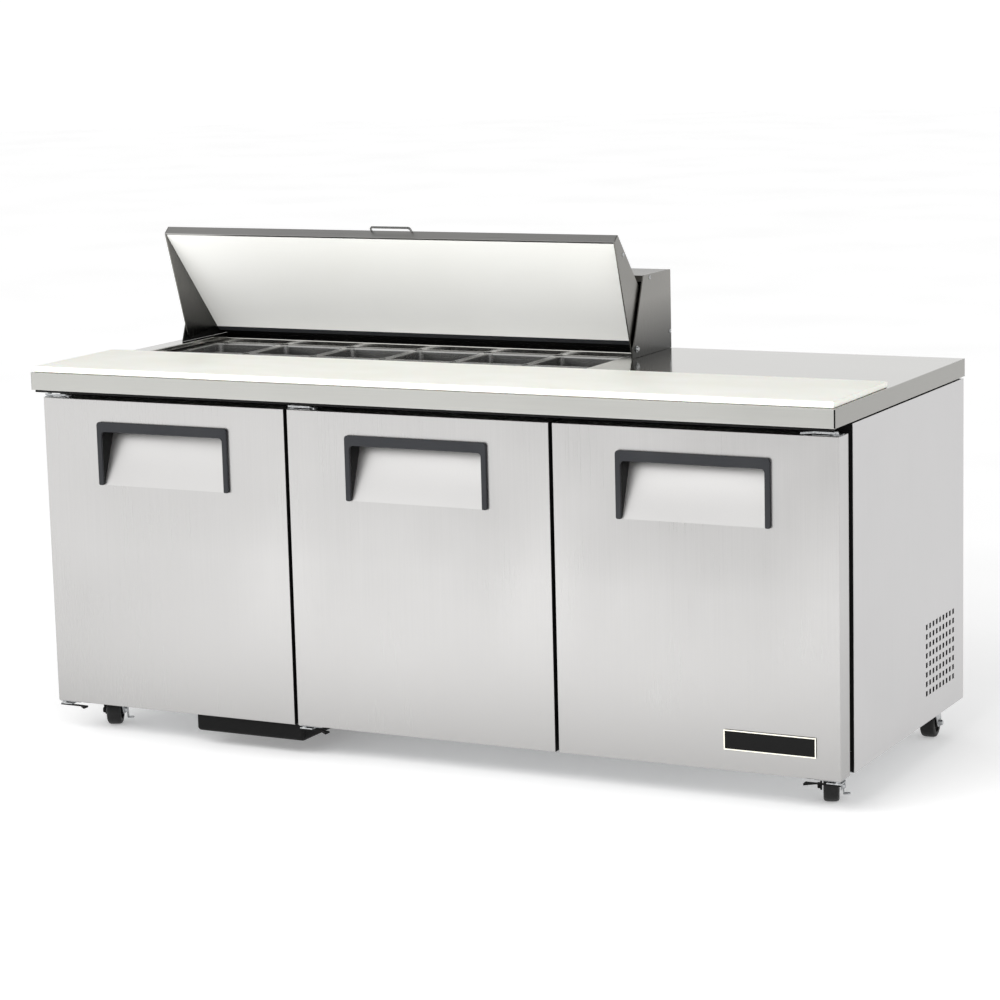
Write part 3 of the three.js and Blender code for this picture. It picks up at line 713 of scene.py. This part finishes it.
def pan_shell(low, high):
    """A deep-drawn pan: flat rim, round corners and a dished floor, one sheet thick."""
    wall, rim, corner = 1.2, 8.0, 14
    size = high - low
    centre = (high + low) / 2
    bm = bmesh.new()
    bmesh.ops.create_grid(bm, x_segments=1, y_segments=1, size=0.5)
    bmesh.ops.scale(bm, vec=(size.x, size.y, 1), verts=bm.verts)
    bmesh.ops.translate(bm, vec=(centre.x, centre.y, high.z), verts=bm.verts)
    bevel(bm, bm.verts[:], corner, 5, "VERTICES")
    floor = bm.faces[:]
    steps = ((rim, 0), (0.9, 0.9), (0.6, 2.1), (4.2, size.z - 13.2), (1.0, 4.4), (2.6, 3.2), (4.0, 1.6))
    for inset, drop in steps:
        floor = bmesh.ops.extrude_discrete_faces(bm, faces=floor)["faces"]
        verts = list(floor[0].verts)
        narrower = size - Vector((2 * inset, 2 * inset, 0))
        shrink = (narrower.x / size.x, narrower.y / size.y, 1)
        bmesh.ops.scale(bm, vec=shrink, space=Matrix.Translation(-centre), verts=verts)
        bmesh.ops.translate(bm, vec=(0, 0, -drop), verts=verts)
        size = narrower
    bmesh.ops.recalc_face_normals(bm, faces=bm.faces)
    if floor[0].normal.z < 0:
        bmesh.ops.reverse_faces(bm, faces=bm.faces)
    bmesh.ops.solidify(bm, geom=bm.faces[:], thickness=wall)
    return closed(bm, 0)


def make_pans():
    """Twelve sixth-size pans in two rows."""
    for place in ("front", "rear"):
        for column in range(1, 7):
            node = f"pan_{place}_{column}"
            low, high = box_mm(node)
            shell = pan_shell(low + Vector((0, 0, 1.3)), high)
            piece(f"sixth_{node}", [shell], node, [PAN_STEEL], [node])


def make_board():
    """The cutting board along the whole front."""
    low, high = box_mm("cutting_board")
    piece("full_length_board", [block(low, high, 2.2, 4)], "cutting_board", [BOARD_WHITE],
          ["cutting_board"])


# ---- hood and lid ----
# Places in the (y, z) plane: the hinge pin, and the lid's front lip, top edge and tail.
PIVOT = (198.0, 831.0)
LIP, TOP, TAIL = (110.3, 1067.7), (127.0, 1082.0), (337.0, 837.0)


def make_hood():
    """The fixed housing behind the lid: steel sides, roof, lip and back, with black insulation inside."""
    low, high = box_mm("hood_shell")
    foot_y, lip_y = 174.0, 239.5
    side, roof, back = 4.0, 15.0, 20.0
    roof_z, back_y = high.z - roof, high.y - back
    outline = [(foot_y, low.z), (high.y, low.z), (high.y, high.z), (lip_y, high.z)]
    inner = [(foot_y + 4, low.z + 2), (back_y, low.z + 2), (back_y, roof_z), (lip_y + 6, roof_z)]
    parts = []
    for x, way in ((high.x, 1), (low.x, -1)):
        parts.append(slab(outline, "x", *sorted((x, x - way * (side - 0.8))), {3: [2, 3]}, 0.8))
        parts.append(slab(inner, "x", *sorted((x - way * (side - 0.7), x - way * side)), mat=1))
        parts += [screw((x - way * 0.1, y, z), (way, 0, 0), 4.6, 2.0, 2)
                  for y, z in ((271, high.z - 7), (high.y - 7, 850))]
        nut = [(0, 0), (7, 0), (7, 1.4), (5, 1.6), (4.4, 5), (0, 6.4)]
        parts.append(turned((x - way * 0.1, *PIVOT), (way, 0, 0), nut, 20, 2))
    x0, x1 = low.x + 1.5, high.x - 1.5
    in0, in1 = low.x + side - 0.7, high.x - side + 0.7
    parts += [
        block((x0, lip_y + 0.8, high.z - 3), (x1, high.y - 0.6, high.z - 0.4), 0.8),
        block((in0, lip_y + 2, roof_z), (in1, high.y - 2, high.z - 3.2), 0.8, mat=1),
        block((x0, high.y - 2.6, low.z), (x1, high.y, high.z - 1), 0.8),
        block((in0, back_y, low.z), (in1, high.y - 2.8, roof_z), 0.8, mat=1),
        block((x0, lip_y, roof_z + 1), (x1, lip_y + 1.8, high.z - 0.6), 0.6),
    ]
    for x in (low.x + 60, -322, high.x - 60):
        parts.append(screw((x, high.y - 0.1, high.z - 12), (0, 1, 0), 3.6, 1.0, 2))
    piece("hood_housing", parts, CABINET, [HOOD_STEEL_PAINTED_SHADE, BLACK_PLASTIC, ZINC], ["hood_shell"])


def offset(a, b, distance):
    """A line's two ends moved to the right of its direction."""
    length = math.hypot(b[0] - a[0], b[1] - a[1])
    normal = ((b[1] - a[1]) / length, -(b[0] - a[0]) / length)
    return [(p[0] + normal[0] * distance, p[1] + normal[1] * distance) for p in (a, b)]


def slide(point, distance):
    """A point moved along the lid's skin, from its top edge to its tail."""
    run = math.hypot(TAIL[0] - TOP[0], TAIL[1] - TOP[1])
    return tuple(p + (b - a) / run * distance for p, a, b in zip(point, TOP, TAIL))


def make_lid():
    """The lid: two side sheets with a round ear at the pin, an outer skin, a front fold and a satin liner."""
    low, high = box_mm("lid_shell")
    x0, x1 = -886.0, 241.0
    wall, ear_radius, steps = 3.0, 12, 9
    turns = [math.pi * (1 + 0.62 * i / steps) for i in range(steps + 1)]
    ear = [(PIVOT[0] + ear_radius * math.cos(a), PIVOT[1] + ear_radius * math.sin(a)) for a in turns]
    side = [TAIL, TOP, LIP, *ear]
    skin_top, skin_tail = offset(TOP, TAIL, 8)
    fold_top, fold_lip = offset(TOP, LIP, -5)
    skin = [TAIL, slide(TOP, 1.6), slide(skin_top, 1.6), skin_tail]
    parts = [
        slab(side, "x", x0, x0 + wall, {2.0: [0, 1, 2]}, 0.7),
        slab(side, "x", x1 - wall, x1, {2.0: [0, 1, 2]}, 0.7),
        slab(skin, "x", x0 + 0.8, x1 - 0.8, {1.5: [0]}, 0.5),
        slab([TOP, LIP, fold_lip, fold_top], "x", x0 + 0.4, x1 - 0.4, {1.2: [0], 0.5: [1]}, 0.4, mat=1),
    ]
    # Painted shade: each side sheet's inward face takes the darker lid side steel.
    for side_sheet, inward in ((parts[0], 1), (parts[1], -1)):
        for face in side_sheet.faces:
            if face.normal.x * inward > 0.9:
                face.material_index = 3
    washer = [(0, 0), (9, 0), (9, 1.2), (8.2, 1.7), (6.4, 1.7), (6.0, 2.5), (3.6, 2.6), (3.0, 1.6), (0, 1.6)]
    near_top = (TOP[0] + 25, TOP[1] - 44)
    for way, pin_x, sheet_x in ((1, high.x, x1), (-1, low.x, x0)):
        parts.append(turned((pin_x - way * 2.6, *PIVOT), (way, 0, 0), washer, 28, 2))
        parts.append(screw((sheet_x - way * 0.1, *near_top), (way, 0, 0), 4.6, 2.0, 2))
    piece("lid_cover", parts, "lid", [HOOD_STEEL_PAINTED_SHADE, BAND_STEEL, ZINC, LID_SIDE_PAINTED_SHADE],
          ["lid_shell"])

    near_top, near_tail = offset(TOP, TAIL, 8.3)
    far_top, far_tail = offset(TOP, TAIL, 22)
    seal_tail = offset(TOP, TAIL, 22.5)[1]
    outline = [near_tail, slide(near_top, 5.6), slide(far_top, 5.6), far_tail]
    strip = [slide(far_tail, -1.0), slide(far_tail, -13.5), slide(seal_tail, -13.5), slide(seal_tail, -1.0)]
    parts = [slab(outline, "x", x0 + wall + 0.3, x1 - wall - 0.3, {2.0: [3], 0.5: [2]}, 0.6, 3),
             slab(strip, "x", x0 + wall + 1, x1 - wall - 1, mat=1)]
    piece("lid_inner_panel", parts, "lid", [LINER_PAINTED_BRIGHT, CHARCOAL], ["lid_liner"])


def make_lid_strap():
    """A flat strap bent twice, its feet on the lid's front fold."""
    low, high = box_mm("lid_handle")
    half, stand_off, thick, half_width, rise = (high.x - low.x) / 2, 15.0, 3.0, 2.5, 7.0
    foot, lean = 0.3, 1.5
    inner, under = half - thick, stand_off - thick
    outline = [(-half, foot), (-half + lean, stand_off), (half - lean, stand_off), (half, foot),
               (inner, foot), (inner - lean, under), (-inner + lean, under), (-inner, foot)]
    bm = slab(outline, "z", -half_width, half_width, {6: [1, 2], 4: [5, 6]}, 0.8)
    middle = (Vector(TOP) + Vector(LIP)) / 2
    along = (Vector(TOP) - Vector(LIP)).normalized()
    up = Vector((0, along.x, along.y))
    out = Vector((0, -up.z, up.y))
    turn = Matrix((Vector((1, 0, 0)), out, up)).transposed().to_4x4()
    moved(bm, Matrix.Translation(Vector(((low.x + high.x) / 2, *middle)) + up * rise) @ turn)
    piece("lid_pull", [closed(bm, 0)], "lid", [STRAP_STEEL], ["lid_handle"])


# ---- doors ----
HANDLE_BOTTOM = 569.5
POCKET_TOP, POCKET_SHOULDER = 702.5, 688.5
POCKET_HALF, POCKET_DEPTH = 152.0, 44.0


def door_panel(low, high, latch_painted_dark):
    """A foamed door: folded steel skin with a finger pocket pressed into it, and a raised liner behind. On
    the doors that close onto the next door's hinge side, that edge is black: painted shade for the dark gap
    there."""
    middle = (low.x + high.x) / 2
    xs = [low.x, middle - POCKET_HALF, middle + POCKET_HALF, high.x]
    zs = [low.z, HANDLE_BOTTOM, POCKET_SHOULDER, POCKET_TOP, high.z]
    bm = lattice(xs, zs, set(), "y", low.y, high.y)
    pocket = [f for f in bm.faces if f.normal.y < -0.9 and abs(f.calc_center_median().x - middle) < 1
              and HANDLE_BOTTOM < f.calc_center_median().z < POCKET_TOP]
    made = bmesh.ops.extrude_face_region(bm, geom=pocket)
    bmesh.ops.delete(bm, geom=pocket, context="FACES_ONLY")
    deep = [v for v in new_verts(made) if v.co.z > HANDLE_BOTTOM + 1]
    bmesh.ops.translate(bm, vec=(0, POCKET_DEPTH, 0), verts=deep)
    bmesh.ops.remove_doubles(bm, verts=bm.verts, dist=1e-3)
    bmesh.ops.dissolve_degenerate(bm, edges=bm.edges, dist=1e-3)
    closed(bm, 0)
    for face in bm.faces:
        place = face.calc_center_median()
        in_pocket = abs(place.x - middle) < POCKET_HALF + 1
        # Painted shade: a latch edge beside another door is black, for the dark gap between the doors.
        on_latch = latch_painted_dark and place.x > high.x - 1
        if abs(face.normal.x) > 0.9 and (in_pocket or on_latch):
            face.material_index = 1
        # Painted light: the pocket's sloped faces take the lighter pocket steel.
        if abs(face.normal.x) < 0.1 and face.normal.y < -0.1 and in_pocket and place.y > low.y + 1:
            face.material_index = 4

    def on_outline(v):
        """Whether a corner lies on the door's outer edge."""
        return any(abs(v.co[i] - end[i]) < 0.01 for i in (X, Z) for end in (low, high))

    outer = [e for e in bm.edges if e.calc_face_angle(0) > SQUARE and all(map(on_outline, e.verts))]
    bevel(bm, outer, 1.5, 3)
    back = [f for f in bm.faces if f.normal.y > 0.99 and f.calc_area() > 500]
    for margin in (33, 5):
        bmesh.ops.inset_region(bm, faces=back, thickness=margin, depth=0, use_even_offset=True)
    verts = list(dict.fromkeys(v for f in back for v in f.verts))
    bmesh.ops.translate(bm, vec=(0, 5, 0), verts=verts)
    for face in bm.faces:
        if face.normal.y > 0.5 and face.calc_center_median().y > high.y - 0.5:
            face.material_index = 2
    return bm


def handle_trim(low, high, middle):
    """Moulded trim round the pocket's top and sides: an upside-down U with soft corners."""
    bar, leg = 21.0, 11.0
    x0, x1 = middle - (high.x - low.x) / 2, middle + (high.x - low.x) / 2
    outline = [(x0, low.z), (x0, high.z), (x1, high.z), (x1, low.z),
               (x1 - leg, low.z), (x1 - leg, high.z - bar), (x0 + leg, high.z - bar), (x0 + leg, low.z)]
    return slab(outline, "y", low.y, high.y, {7: [1, 2], 8: [5, 6], 3.5: [0, 3], 2.5: [4, 7]}, 1.3, 3)


def make_doors():
    """Each door with its bracket plates, and its seal and pull."""
    for name, (body, _) in DOORS.items():
        low, high = box_mm(f"door_{name}_panel")
        middle = (low.x + high.x) / 2
        edge, inward = door_edge(name)
        x0, x1 = sorted([edge + inward * 1.5, edge + inward * 56])
        parts = [door_panel(low, high, name != "right")]
        for z0 in (high.z + 0.1, low.z - 1.7):
            parts.append(block((x0, low.y + 2, z0), (x1, low.y + 34, z0 + 1.6), 0.5, 1, mat=3))
        piece(f"{name}_door", parts, body,
              [DOOR_STEEL_PAINTED_FOOT_SHADE, BLACK_PLASTIC, CABINET_ALUMINIUM, ZINC, POCKET_STEEL_PAINTED_LIGHT], [f"door_{name}_panel"])

        low, high = box_mm(f"door_{name}_gasket")
        layers = ((0, 16, low.y, low.y + 3, 0.8, 2), (2, 5, low.y + 2.6, high.y - 3, 1.2, 2),
                  (1, 13, high.y - 3.6, high.y, 1.5, 3))
        seal = [ring((low.x + inset, high.x - inset), (low.z + inset, high.z - inset), width, "y", *rest)
                for inset, width, *rest in layers]
        piece(f"{name}_door_seal", seal, body, [GASKET], [f"door_{name}_gasket"])

        pull = handle_trim(*box_mm(f"door_{name}_handle"), middle)
        piece(f"{name}_door_pull", [pull], body, [CHARCOAL], [f"door_{name}_handle"])


def make_name_plate():
    """A plain black plate with a pale border."""
    low, high = box_mm("name_plate")
    front = low.y
    plate = rectangle((low.x, high.x), (low.z, high.z))
    xs, zs = (low.x + 0.5, high.x - 0.5), (low.z + 0.5, high.z - 0.5)
    parts = [slab(plate, "y", front + 0.4, high.y, {4: [0, 1, 2, 3]}, 0.3, 1),
             ring(xs, zs, 2.3, "y", front, front + 0.6, mat=1)]
    piece("maker_plate", parts, "door_right", [PLATE_BLACK, PLATE_PALE], ["name_plate"])


# ---- shelves ----
def make_shelves():
    """Welded wire shelves: a stout frame, two cross rods, and thin wires from front to back."""
    frame_radius, rod_radius, wire_radius = 2.9, 2.2, 1.4
    wire_pitch = 24
    for node in (f"shelf_{bay}_{level}" for bay in DOORS for level in ("lower", "upper")):
        low, high = box_mm(node)
        z = low.z + 3
        x0, x1 = low.x + frame_radius, high.x - frame_radius
        y0, y1 = low.y + frame_radius, high.y - frame_radius
        parts = [rod((x0, y, z), (x1, y, z), frame_radius, 10, 0.5) for y in (y0, y1)]
        parts += [rod((x, y0, z), (x, y1, z), frame_radius, 10, 0.5) for x in (x0, x1)]
        braces = spaced(low.y, high.y, 4)[1:-1]
        wires = spaced(x0, x1, int((x1 - x0) / wire_pitch) + 1)[1:-1]
        parts += [rod((x0, y, z - 0.5), (x1, y, z - 0.5), rod_radius, 8) for y in braces]
        parts += [rod((x, y0, z + 1.4), (x, y1, z + 1.4), wire_radius, 8) for x in wires]
        piece(f"wire_{node}", parts, CABINET, [WIRE_COAT], [node])


# ---- refrigeration ----
def fan_blade(root, tip, width, pitch_degrees, thick=1.6):
    """A sheet blade from root to tip radius, drawn along +z and twisted."""
    bm = bmesh.new()
    bmesh.ops.create_grid(bm, x_segments=6, y_segments=8, size=0.5)
    for v in bm.verts:
        along = v.co.y + 0.5
        span = root + (tip - root) * along
        half = width * (0.5 + 0.5 * math.sin(math.pi * min(1, 0.25 + 0.75 * along)))
        chord = v.co.x * half
        twist = math.radians(pitch_degrees * (1.25 - 0.5 * along))
        camber = (0.25 - v.co.x ** 2) * 6
        v.co = (chord * math.cos(twist), chord * math.sin(twist) + camber, span)
    bmesh.ops.recalc_face_normals(bm, faces=bm.faces)
    bmesh.ops.solidify(bm, geom=bm.faces[:], thickness=thick)
    return closed(bm, 0)


def make_fan(name, node, axis, material, blades, radius, hub, width):
    """Blades round a hub, on an axis through the middle of the node's box."""
    low, high = box_mm(node)
    centre = (low + high) / 2
    direction = Vector([float(i == axis) for i in (X, Y, Z)])
    turn = Matrix.Rotation(-math.pi / 2, 4, "Z") if axis == X else Matrix.Identity(4)
    parts = []
    for i in range(blades):
        place = Matrix.Translation(centre) @ Matrix.Rotation(math.tau * i / blades, 4, direction) @ turn
        parts.append(moved(fan_blade(hub - 3, radius, width, 32), place))
    half_depth = (high - low)[axis] / 2
    start = centre - direction * half_depth * 0.9
    parts.append(rod(start, start + direction * half_depth * 1.7, hub, 28, 3))
    piece(name, parts, node, [material], [node])


def make_machine_box():
    """The insulated walls between the machine compartment and the food."""
    low, high = box_mm("machine_partition")
    wall, gap = 34.0, 0.2
    under = high.z - wall - gap
    parts = [
        block((low.x + wall + gap, low.y, low.z), (high.x, low.y + wall, under), 1.5),
        block((low.x, low.y, high.z - wall), high, 1.5),
        block(low, (low.x + wall, high.y, under), 1.5),
    ]
    piece("machine_box", parts, CABINET, [CABINET_ALUMINIUM], ["machine_partition"])


def make_compressor():
    """A welded steel pot on a base plate with four rubber feet, its relay box and two copper tubes."""
    low, high = box_mm("compressor")
    base = Vector(((low.x + high.x) / 2, (low.y + high.y) / 2, low.z))
    shell = [(0, 14), (50, 14), (62, 17), (71, 26), (73, 40), (73, 84), (75, 87), (75, 92), (73, 95),
             (72, 122), (66, 141), (52, 154), (30, 163), (0, 166)]
    scale = (high.z - low.z) / 168
    foot = [(0, 0), (11, 0), (12, 4), (9, 9), (5, 11), (5, 13), (0, 13)]
    suction = ((62, 20, 110), (92, 24, 112), (96, 30, 60), (120, 34, 30), (190, 40, 26))
    discharge = ((40, 50, 120), (52, 76, 126), (30, 82, 170), (-60, 82, 178))
    plate = rectangle((low.x, high.x), (low.y, high.y))
    parts = [turned(base, (0, 0, 1), [(r, h * scale) for r, h in shell], 40),
             slab(plate, "z", low.z, low.z + 3, {12: [0, 1, 2, 3]}, 0.8),
             block(base + Vector((-58, -74, 60)), base + Vector((-12, -58, 118)), 4, 3, 1)]
    parts += [turned(base + Vector((x, y, 3)), (0, 0, 1), foot, 20, 1) for x in (-70, 70) for y in (-46, 46)]
    parts += [pipe([base + Vector(point) for point in path], radius, 2)
              for path, radius in ((suction, 4), (discharge, 3.2))]
    piece("compressor_unit", parts, CABINET, [MACHINE_PAINT, BLACK_PLASTIC, COPPER],
          ["compressor"])


def make_condenser():
    """A fin block with copper tubes, and its fan on a motor with a bracket."""
    low, high = box_mm("condenser_coil")
    parts = [block(low, (high.x, low.y + 1.6, high.z), 0.5, 1),
             block((low.x, high.y - 1.6, low.z), high, 0.5, 1)]
    for y in spaced(low.y + 4, high.y - 4, 38):
        parts.append(block((low.x + 2, y - 0.25, low.z + 3), (high.x - 2, y + 0.25, high.z - 3)))
    for z in spaced(low.z + 16, high.z - 16, 7):
        for x in (low.x + 15, high.x - 15):
            parts.append(rod((x, low.y + 0.5, z), (x, high.y - 0.5, z), 4, 12, mat=1))
    piece("condenser_core", parts, CABINET, [FIN_ALUMINIUM, COPPER], ["condenser_coil"])

    low, high = box_mm("condenser_fan_motor")
    centre = (low.y + high.y) / 2
    axis_z = high.z - 34
    profile = [(0, 0), (26, 0), (32, 4), (34, 9), (34, 48), (31, 55), (14, 59.5), (0, 60)]
    profile = [(r, min(h, high.x - low.x)) for r, h in profile]
    parts = [turned((low.x, centre, axis_z), (1, 0, 0), profile),
             block((low.x + 12, centre - 26, low.z), (low.x + 48, centre + 26, low.z + 3), 1, mat=1),
             block((low.x + 26, centre - 24, low.z + 2.8), (low.x + 30, centre + 24, axis_z - 26), 1, mat=1)]
    piece("fan_motor", parts, CABINET, [MACHINE_PAINT, ZINC], ["condenser_fan_motor"])
    make_fan("condenser_blower", "condenser_fan", X, FIN_ALUMINIUM, 4, 68, 18, 44)


def make_evaporator():
    """A pressed aluminium fan box on the back wall, with a wire guard over its round mouth."""
    low, high = box_mm("evaporator_housing")
    fan_low, fan_high = box_mm("evaporator_fan")
    centre = (fan_low + fan_high) / 2
    mouth, depth, wire = 96.0, 60.0, 1.3
    bm = block(low, high)
    front = min(bm.faces, key=lambda f: f.calc_center_median().y)
    bevel(bm, [e for e in bm.edges if e not in front.edges], 2.0)
    cut = [(0, 0), (mouth, 0), (mouth, depth + 5), (0, depth + 5)]
    parts = [closed(subtract(bm, turned((centre.x, low.y - 5, centre.z), (0, 1, 0), cut, 48)), 0)]
    hub = Vector((centre.x, low.y + 3, centre.z))
    round_wire = [(wire * math.cos(a), wire * math.sin(a)) for a in (math.tau * k / 8 for k in range(9))]
    for radius in (28, 50, 72, 93):
        parts.append(turned(hub, (0, 1, 0), [(radius + r, h) for r, h in round_wire], 48, 1))
    for angle in (45, 135, 225, 315):
        out = Vector((math.cos(math.radians(angle)), 0, math.sin(math.radians(angle))))
        parts.append(rod(hub + out * 27, hub + out * 95, 1.5, 8, mat=1))
    piece("evaporator_box", parts, CABINET, [CABINET_ALUMINIUM, WIRE_COAT],
          ["evaporator_housing"])
    make_fan("evaporator_blower", "evaporator_fan", Y, BLACK_PLASTIC, 5, 80, 20, 46)


# ---- castors ----
CASTORS = {"front_left": 24, "front_right": 20, "rear_left": 0, "rear_right": 4}
TRAIL, WHEEL_RADIUS = 25.0, 32.0
PLATE_FOOT = 76.4


def castor_place(name):
    """Where a castor's swivel axis stands, and how far it is turned, from its wheel's box."""
    low, high = box_mm(f"castor_{name}_wheel")
    turn = Matrix.Rotation(math.radians(CASTORS[name]), 4, "Z")
    hub = (low + high) / 2
    foot = Vector((hub.x, hub.y, 0)) - turn @ Vector((0, TRAIL, 0))
    return Matrix.Translation(foot) @ turn


def make_castors():
    """Four swivel castors: a pressed yoke, a wheel with a tread, and a brake lever on each front one."""
    leg = [(-14, 70), (14, 24), (36, 24), (38, 40), (26, 70)]
    nut = [(0, 0), (8.5, 0), (8.5, 1.2), (6.2, 1.3), (6.2, 5.6), (4.6, 6.6), (0, 6.6)]
    tread = [(20.5, -15.6), (27.5, -15.6), (30.6, -13.6), (31.8, -9.4), (32, -4), (32, 4), (31.8, 9.4),
             (30.6, 13.6), (27.5, 15.6), (20.5, 15.6), (20.5, -15.6)]
    half_core = [(0, 14.4), (8.5, 14.4), (9.2, 16), (10.5, 16), (10.8, 12), (18.6, 11.2), (20.7, 14.6)]
    core = [(r, -h) for r, h in half_core] + half_core[::-1]
    lever = [(33, 44), (33, 31), (42, 24), (44, 8), (54, 8), (50, 32)]
    hub = (0, TRAIL, WHEEL_RADIUS)
    for name in CASTORS:
        place = castor_place(name)
        height = box_mm(f"castor_{name}_fork")[1].z - PLATE_FOOT
        plate = [(0, 0), (22, 0), (25.5, 1.2), (25.5, height - 1.2), (24, height), (0, height)]
        fork = [
            turned((0, 0, PLATE_FOOT), (0, 0, 1), plate),
            turned((0, 0, PLATE_FOOT - 3), (0, 0, 1), [(0, 0), (17, 0), (20, 1), (20, 3), (0, 3)]),
            slab(rectangle((-21.5, 21.5), (-20, 26)), "z", 70, PLATE_FOOT - 3, {8: [0, 1, 2, 3]}, 1),
        ]
        for side, mat, nut_sides in ((-1, 1, 24), (1, 0, 6)):
            fork.append(slab(leg, "x", *sorted([side * 18.5, side * 21.3]), {5: [1, 2, 3]}, 0.7, mat=mat))
            fork.append(turned((side * 21.2, TRAIL, WHEEL_RADIUS), (side, 0, 0), nut, nut_sides, mat))
        piece(f"castor_{name}_yoke", [moved(part, place) for part in fork], f"castor_{name}",
              [ZINC, BLACK_PLASTIC], [f"castor_{name}_fork"])

        wheel = [turned(hub, (1, 0, 0), tread, 48), turned(hub, (1, 0, 0), core, 40, 1)]
        piece(f"castor_{name}_tyre", [moved(part, place) for part in wheel], f"castor_{name}_wheel",
              [TREAD, BLACK_PLASTIC], [f"castor_{name}_wheel"])

        if name.startswith("front"):
            pad = rectangle((22.6, 37.2), (43.2, 54.3))
            brake = [slab(lever, "x", 22.3, 25.2, {4: [0, 1, 5], 2: [2]}, 0.7),
                     slab(pad, "z", 8, 10.6, {3.5: [1, 2]}, 0.8),
                     turned((25, 37, 37), (1, 0, 0), [(0, 0), (5, 0), (5, 1.2), (3.6, 2.4), (0, 2.6)], 20)]
            piece(f"castor_{name}_lever", [moved(part, place) for part in brake], f"castor_{name}_brake",
                  [ZINC], [f"castor_{name}_brake"])


# ---- floor, background and light ----
# Painted light and shade: brighter and dimmer glowing pools on the floor in front, which the doors mirror:
# centre, radius, change.
FLOOR_POOLS = (
    ((-0.7, -2.0), 1.9, 0.36),
    ((-3.8, -4.6), 2.6, 0.75),
    ((-0.1, -5.2), 2.4, -0.75),
    ((0.0, -0.3), 2.2, -0.18),
)


def pool(tree, where, centre, radius):
    """A soft round pool on the floor: 1 at its centre and 0 at its radius, in metres."""
    scale = 1 / radius
    place = (-centre[0] * scale, -centre[1] * scale, 0)
    spread = add(tree, "ShaderNodeMapping", {"Scale": (scale,) * 3, "Location": place}, {"Vector": where})
    fall = add(tree, "ShaderNodeTexGradient", {"gradient_type": "SPHERICAL"},
               {"Vector": spread.outputs["Vector"]})
    return add(tree, "ShaderNodeMapRange", {"interpolation_type": "SMOOTHSTEP"},
               {"Value": fall.outputs["Fac"]}).outputs["Result"]


def make_stage():
    """A wide pale floor that fades into a white surround, glowing with painted pools of light and shade."""
    bm = bmesh.new()
    bmesh.ops.create_circle(bm, cap_ends=True, cap_tris=False, segments=96, radius=28)
    mesh = bpy.data.meshes.new("floor")
    bm.to_mesh(mesh)
    bm.free()
    material, tree, where = new_material("matt white studio floor")
    clouds = noise(tree, where, (900, 900, 900), 2)
    glow = between(tree, clouds, 0.41, 0.43)
    for centre, radius, change in FLOOR_POOLS:
        share = pool(tree, where, centre, radius)
        glow = add(tree, "ShaderNodeMath", {"operation": "MULTIPLY_ADD", 1: change},
                   {0: share, 2: glow}).outputs[0]
    glow = add(tree, "ShaderNodeMath", {"operation": "MAXIMUM", 1: 0.0}, {0: glow}).outputs[0]
    shade(material, tree, {"Emission Color": (1, 1, 1, 1), "Specular IOR Level": 0.0},
          {"Base Color": tint(tree, clouds, "#EAEAEA", "#EEEEEE"),
           "Roughness": between(tree, clouds, 0.9, 1.0), "Emission Strength": glow})
    mesh.materials.append(material)
    floor = bpy.data.objects.new("floor", mesh)
    bpy.context.scene.collection.objects.link(floor)


def make_surround():
    """White as seen directly; a softer dome, darker overhead, as seen by the metal."""
    world = bpy.data.worlds.new("studio")
    bpy.context.scene.world = world
    world.use_nodes = True
    tree = world.node_tree
    tree.nodes.clear()
    where = add(tree, "ShaderNodeTexCoord").outputs["Generated"]
    height = add(tree, "ShaderNodeSeparateXYZ", None, {"Vector": where}).outputs["Z"]
    sky = ramp(tree, height, ((0.0, "#F4F4F4"), (0.25, "#EBEBEB"), (0.6, "#C8C8C8"), (0.95, "#ABABAB")))
    dome = add(tree, "ShaderNodeBackground", {"Strength": 1.0}, {"Color": sky})
    white = add(tree, "ShaderNodeBackground", {"Color": (1, 1, 1, 1), "Strength": 1.05})
    seen = add(tree, "ShaderNodeLightPath").outputs["Is Camera Ray"]
    both = add(tree, "ShaderNodeMixShader", None, {0: seen, 1: dome.outputs[0], 2: white.outputs[0]})
    add(tree, "ShaderNodeOutputWorld", None, {"Surface": both.outputs[0]})


def make_light(name, direction, strength, spread_degrees):
    """Light from a broad soft source far away, coming from a direction."""
    data = bpy.data.lights.new(name, "SUN")
    data.energy = strength
    data.angle = math.radians(spread_degrees)
    light = bpy.data.objects.new(name, data)
    light.rotation_euler = Vector(direction).to_track_quat("Z", "Y").to_euler()
    light.location = Vector(direction) * 6
    bpy.context.scene.collection.objects.link(light)


def make_lamp(name, place, target, size, power):
    """A soft box near the table, which lights it but shows in no reflection."""
    data = bpy.data.lights.new(name, "AREA")
    data.shape = "RECTANGLE"
    data.size, data.size_y = size
    data.energy = power
    lamp = bpy.data.objects.new(name, data)
    lamp.location = place
    lamp.rotation_euler = (Vector(target) - Vector(place)).to_track_quat("-Z", "Y").to_euler()
    lamp.visible_camera = False
    lamp.visible_glossy = False
    bpy.context.scene.collection.objects.link(lamp)


def make_lights():
    """A lamp for the lid's inside, and two broad soft lights from the front."""
    make_lamp("lid_lamp", (0.0, -2.1, 1.45), (-0.2, 0.2, 0.92), (2.6, 0.7), 46)
    make_light("key", (-0.35, -0.78, 0.52), 0.5, 50)
    make_light("fill", (0.75, -0.45, 0.48), 0.3, 60)


bpy.context.scene.view_settings.view_transform = "Standard"
make_stage()
make_surround()
make_lights()
make_walls()
make_rear()
make_face_frame()
make_floor()
make_drip_pan()
make_worktop()
make_pan_rail()
make_pans()
make_board()
make_hood()
make_lid()
make_lid_strap()
make_doors()
make_name_plate()
make_shelves()
make_machine_box()
make_compressor()
make_condenser()
make_evaporator()
make_castors()
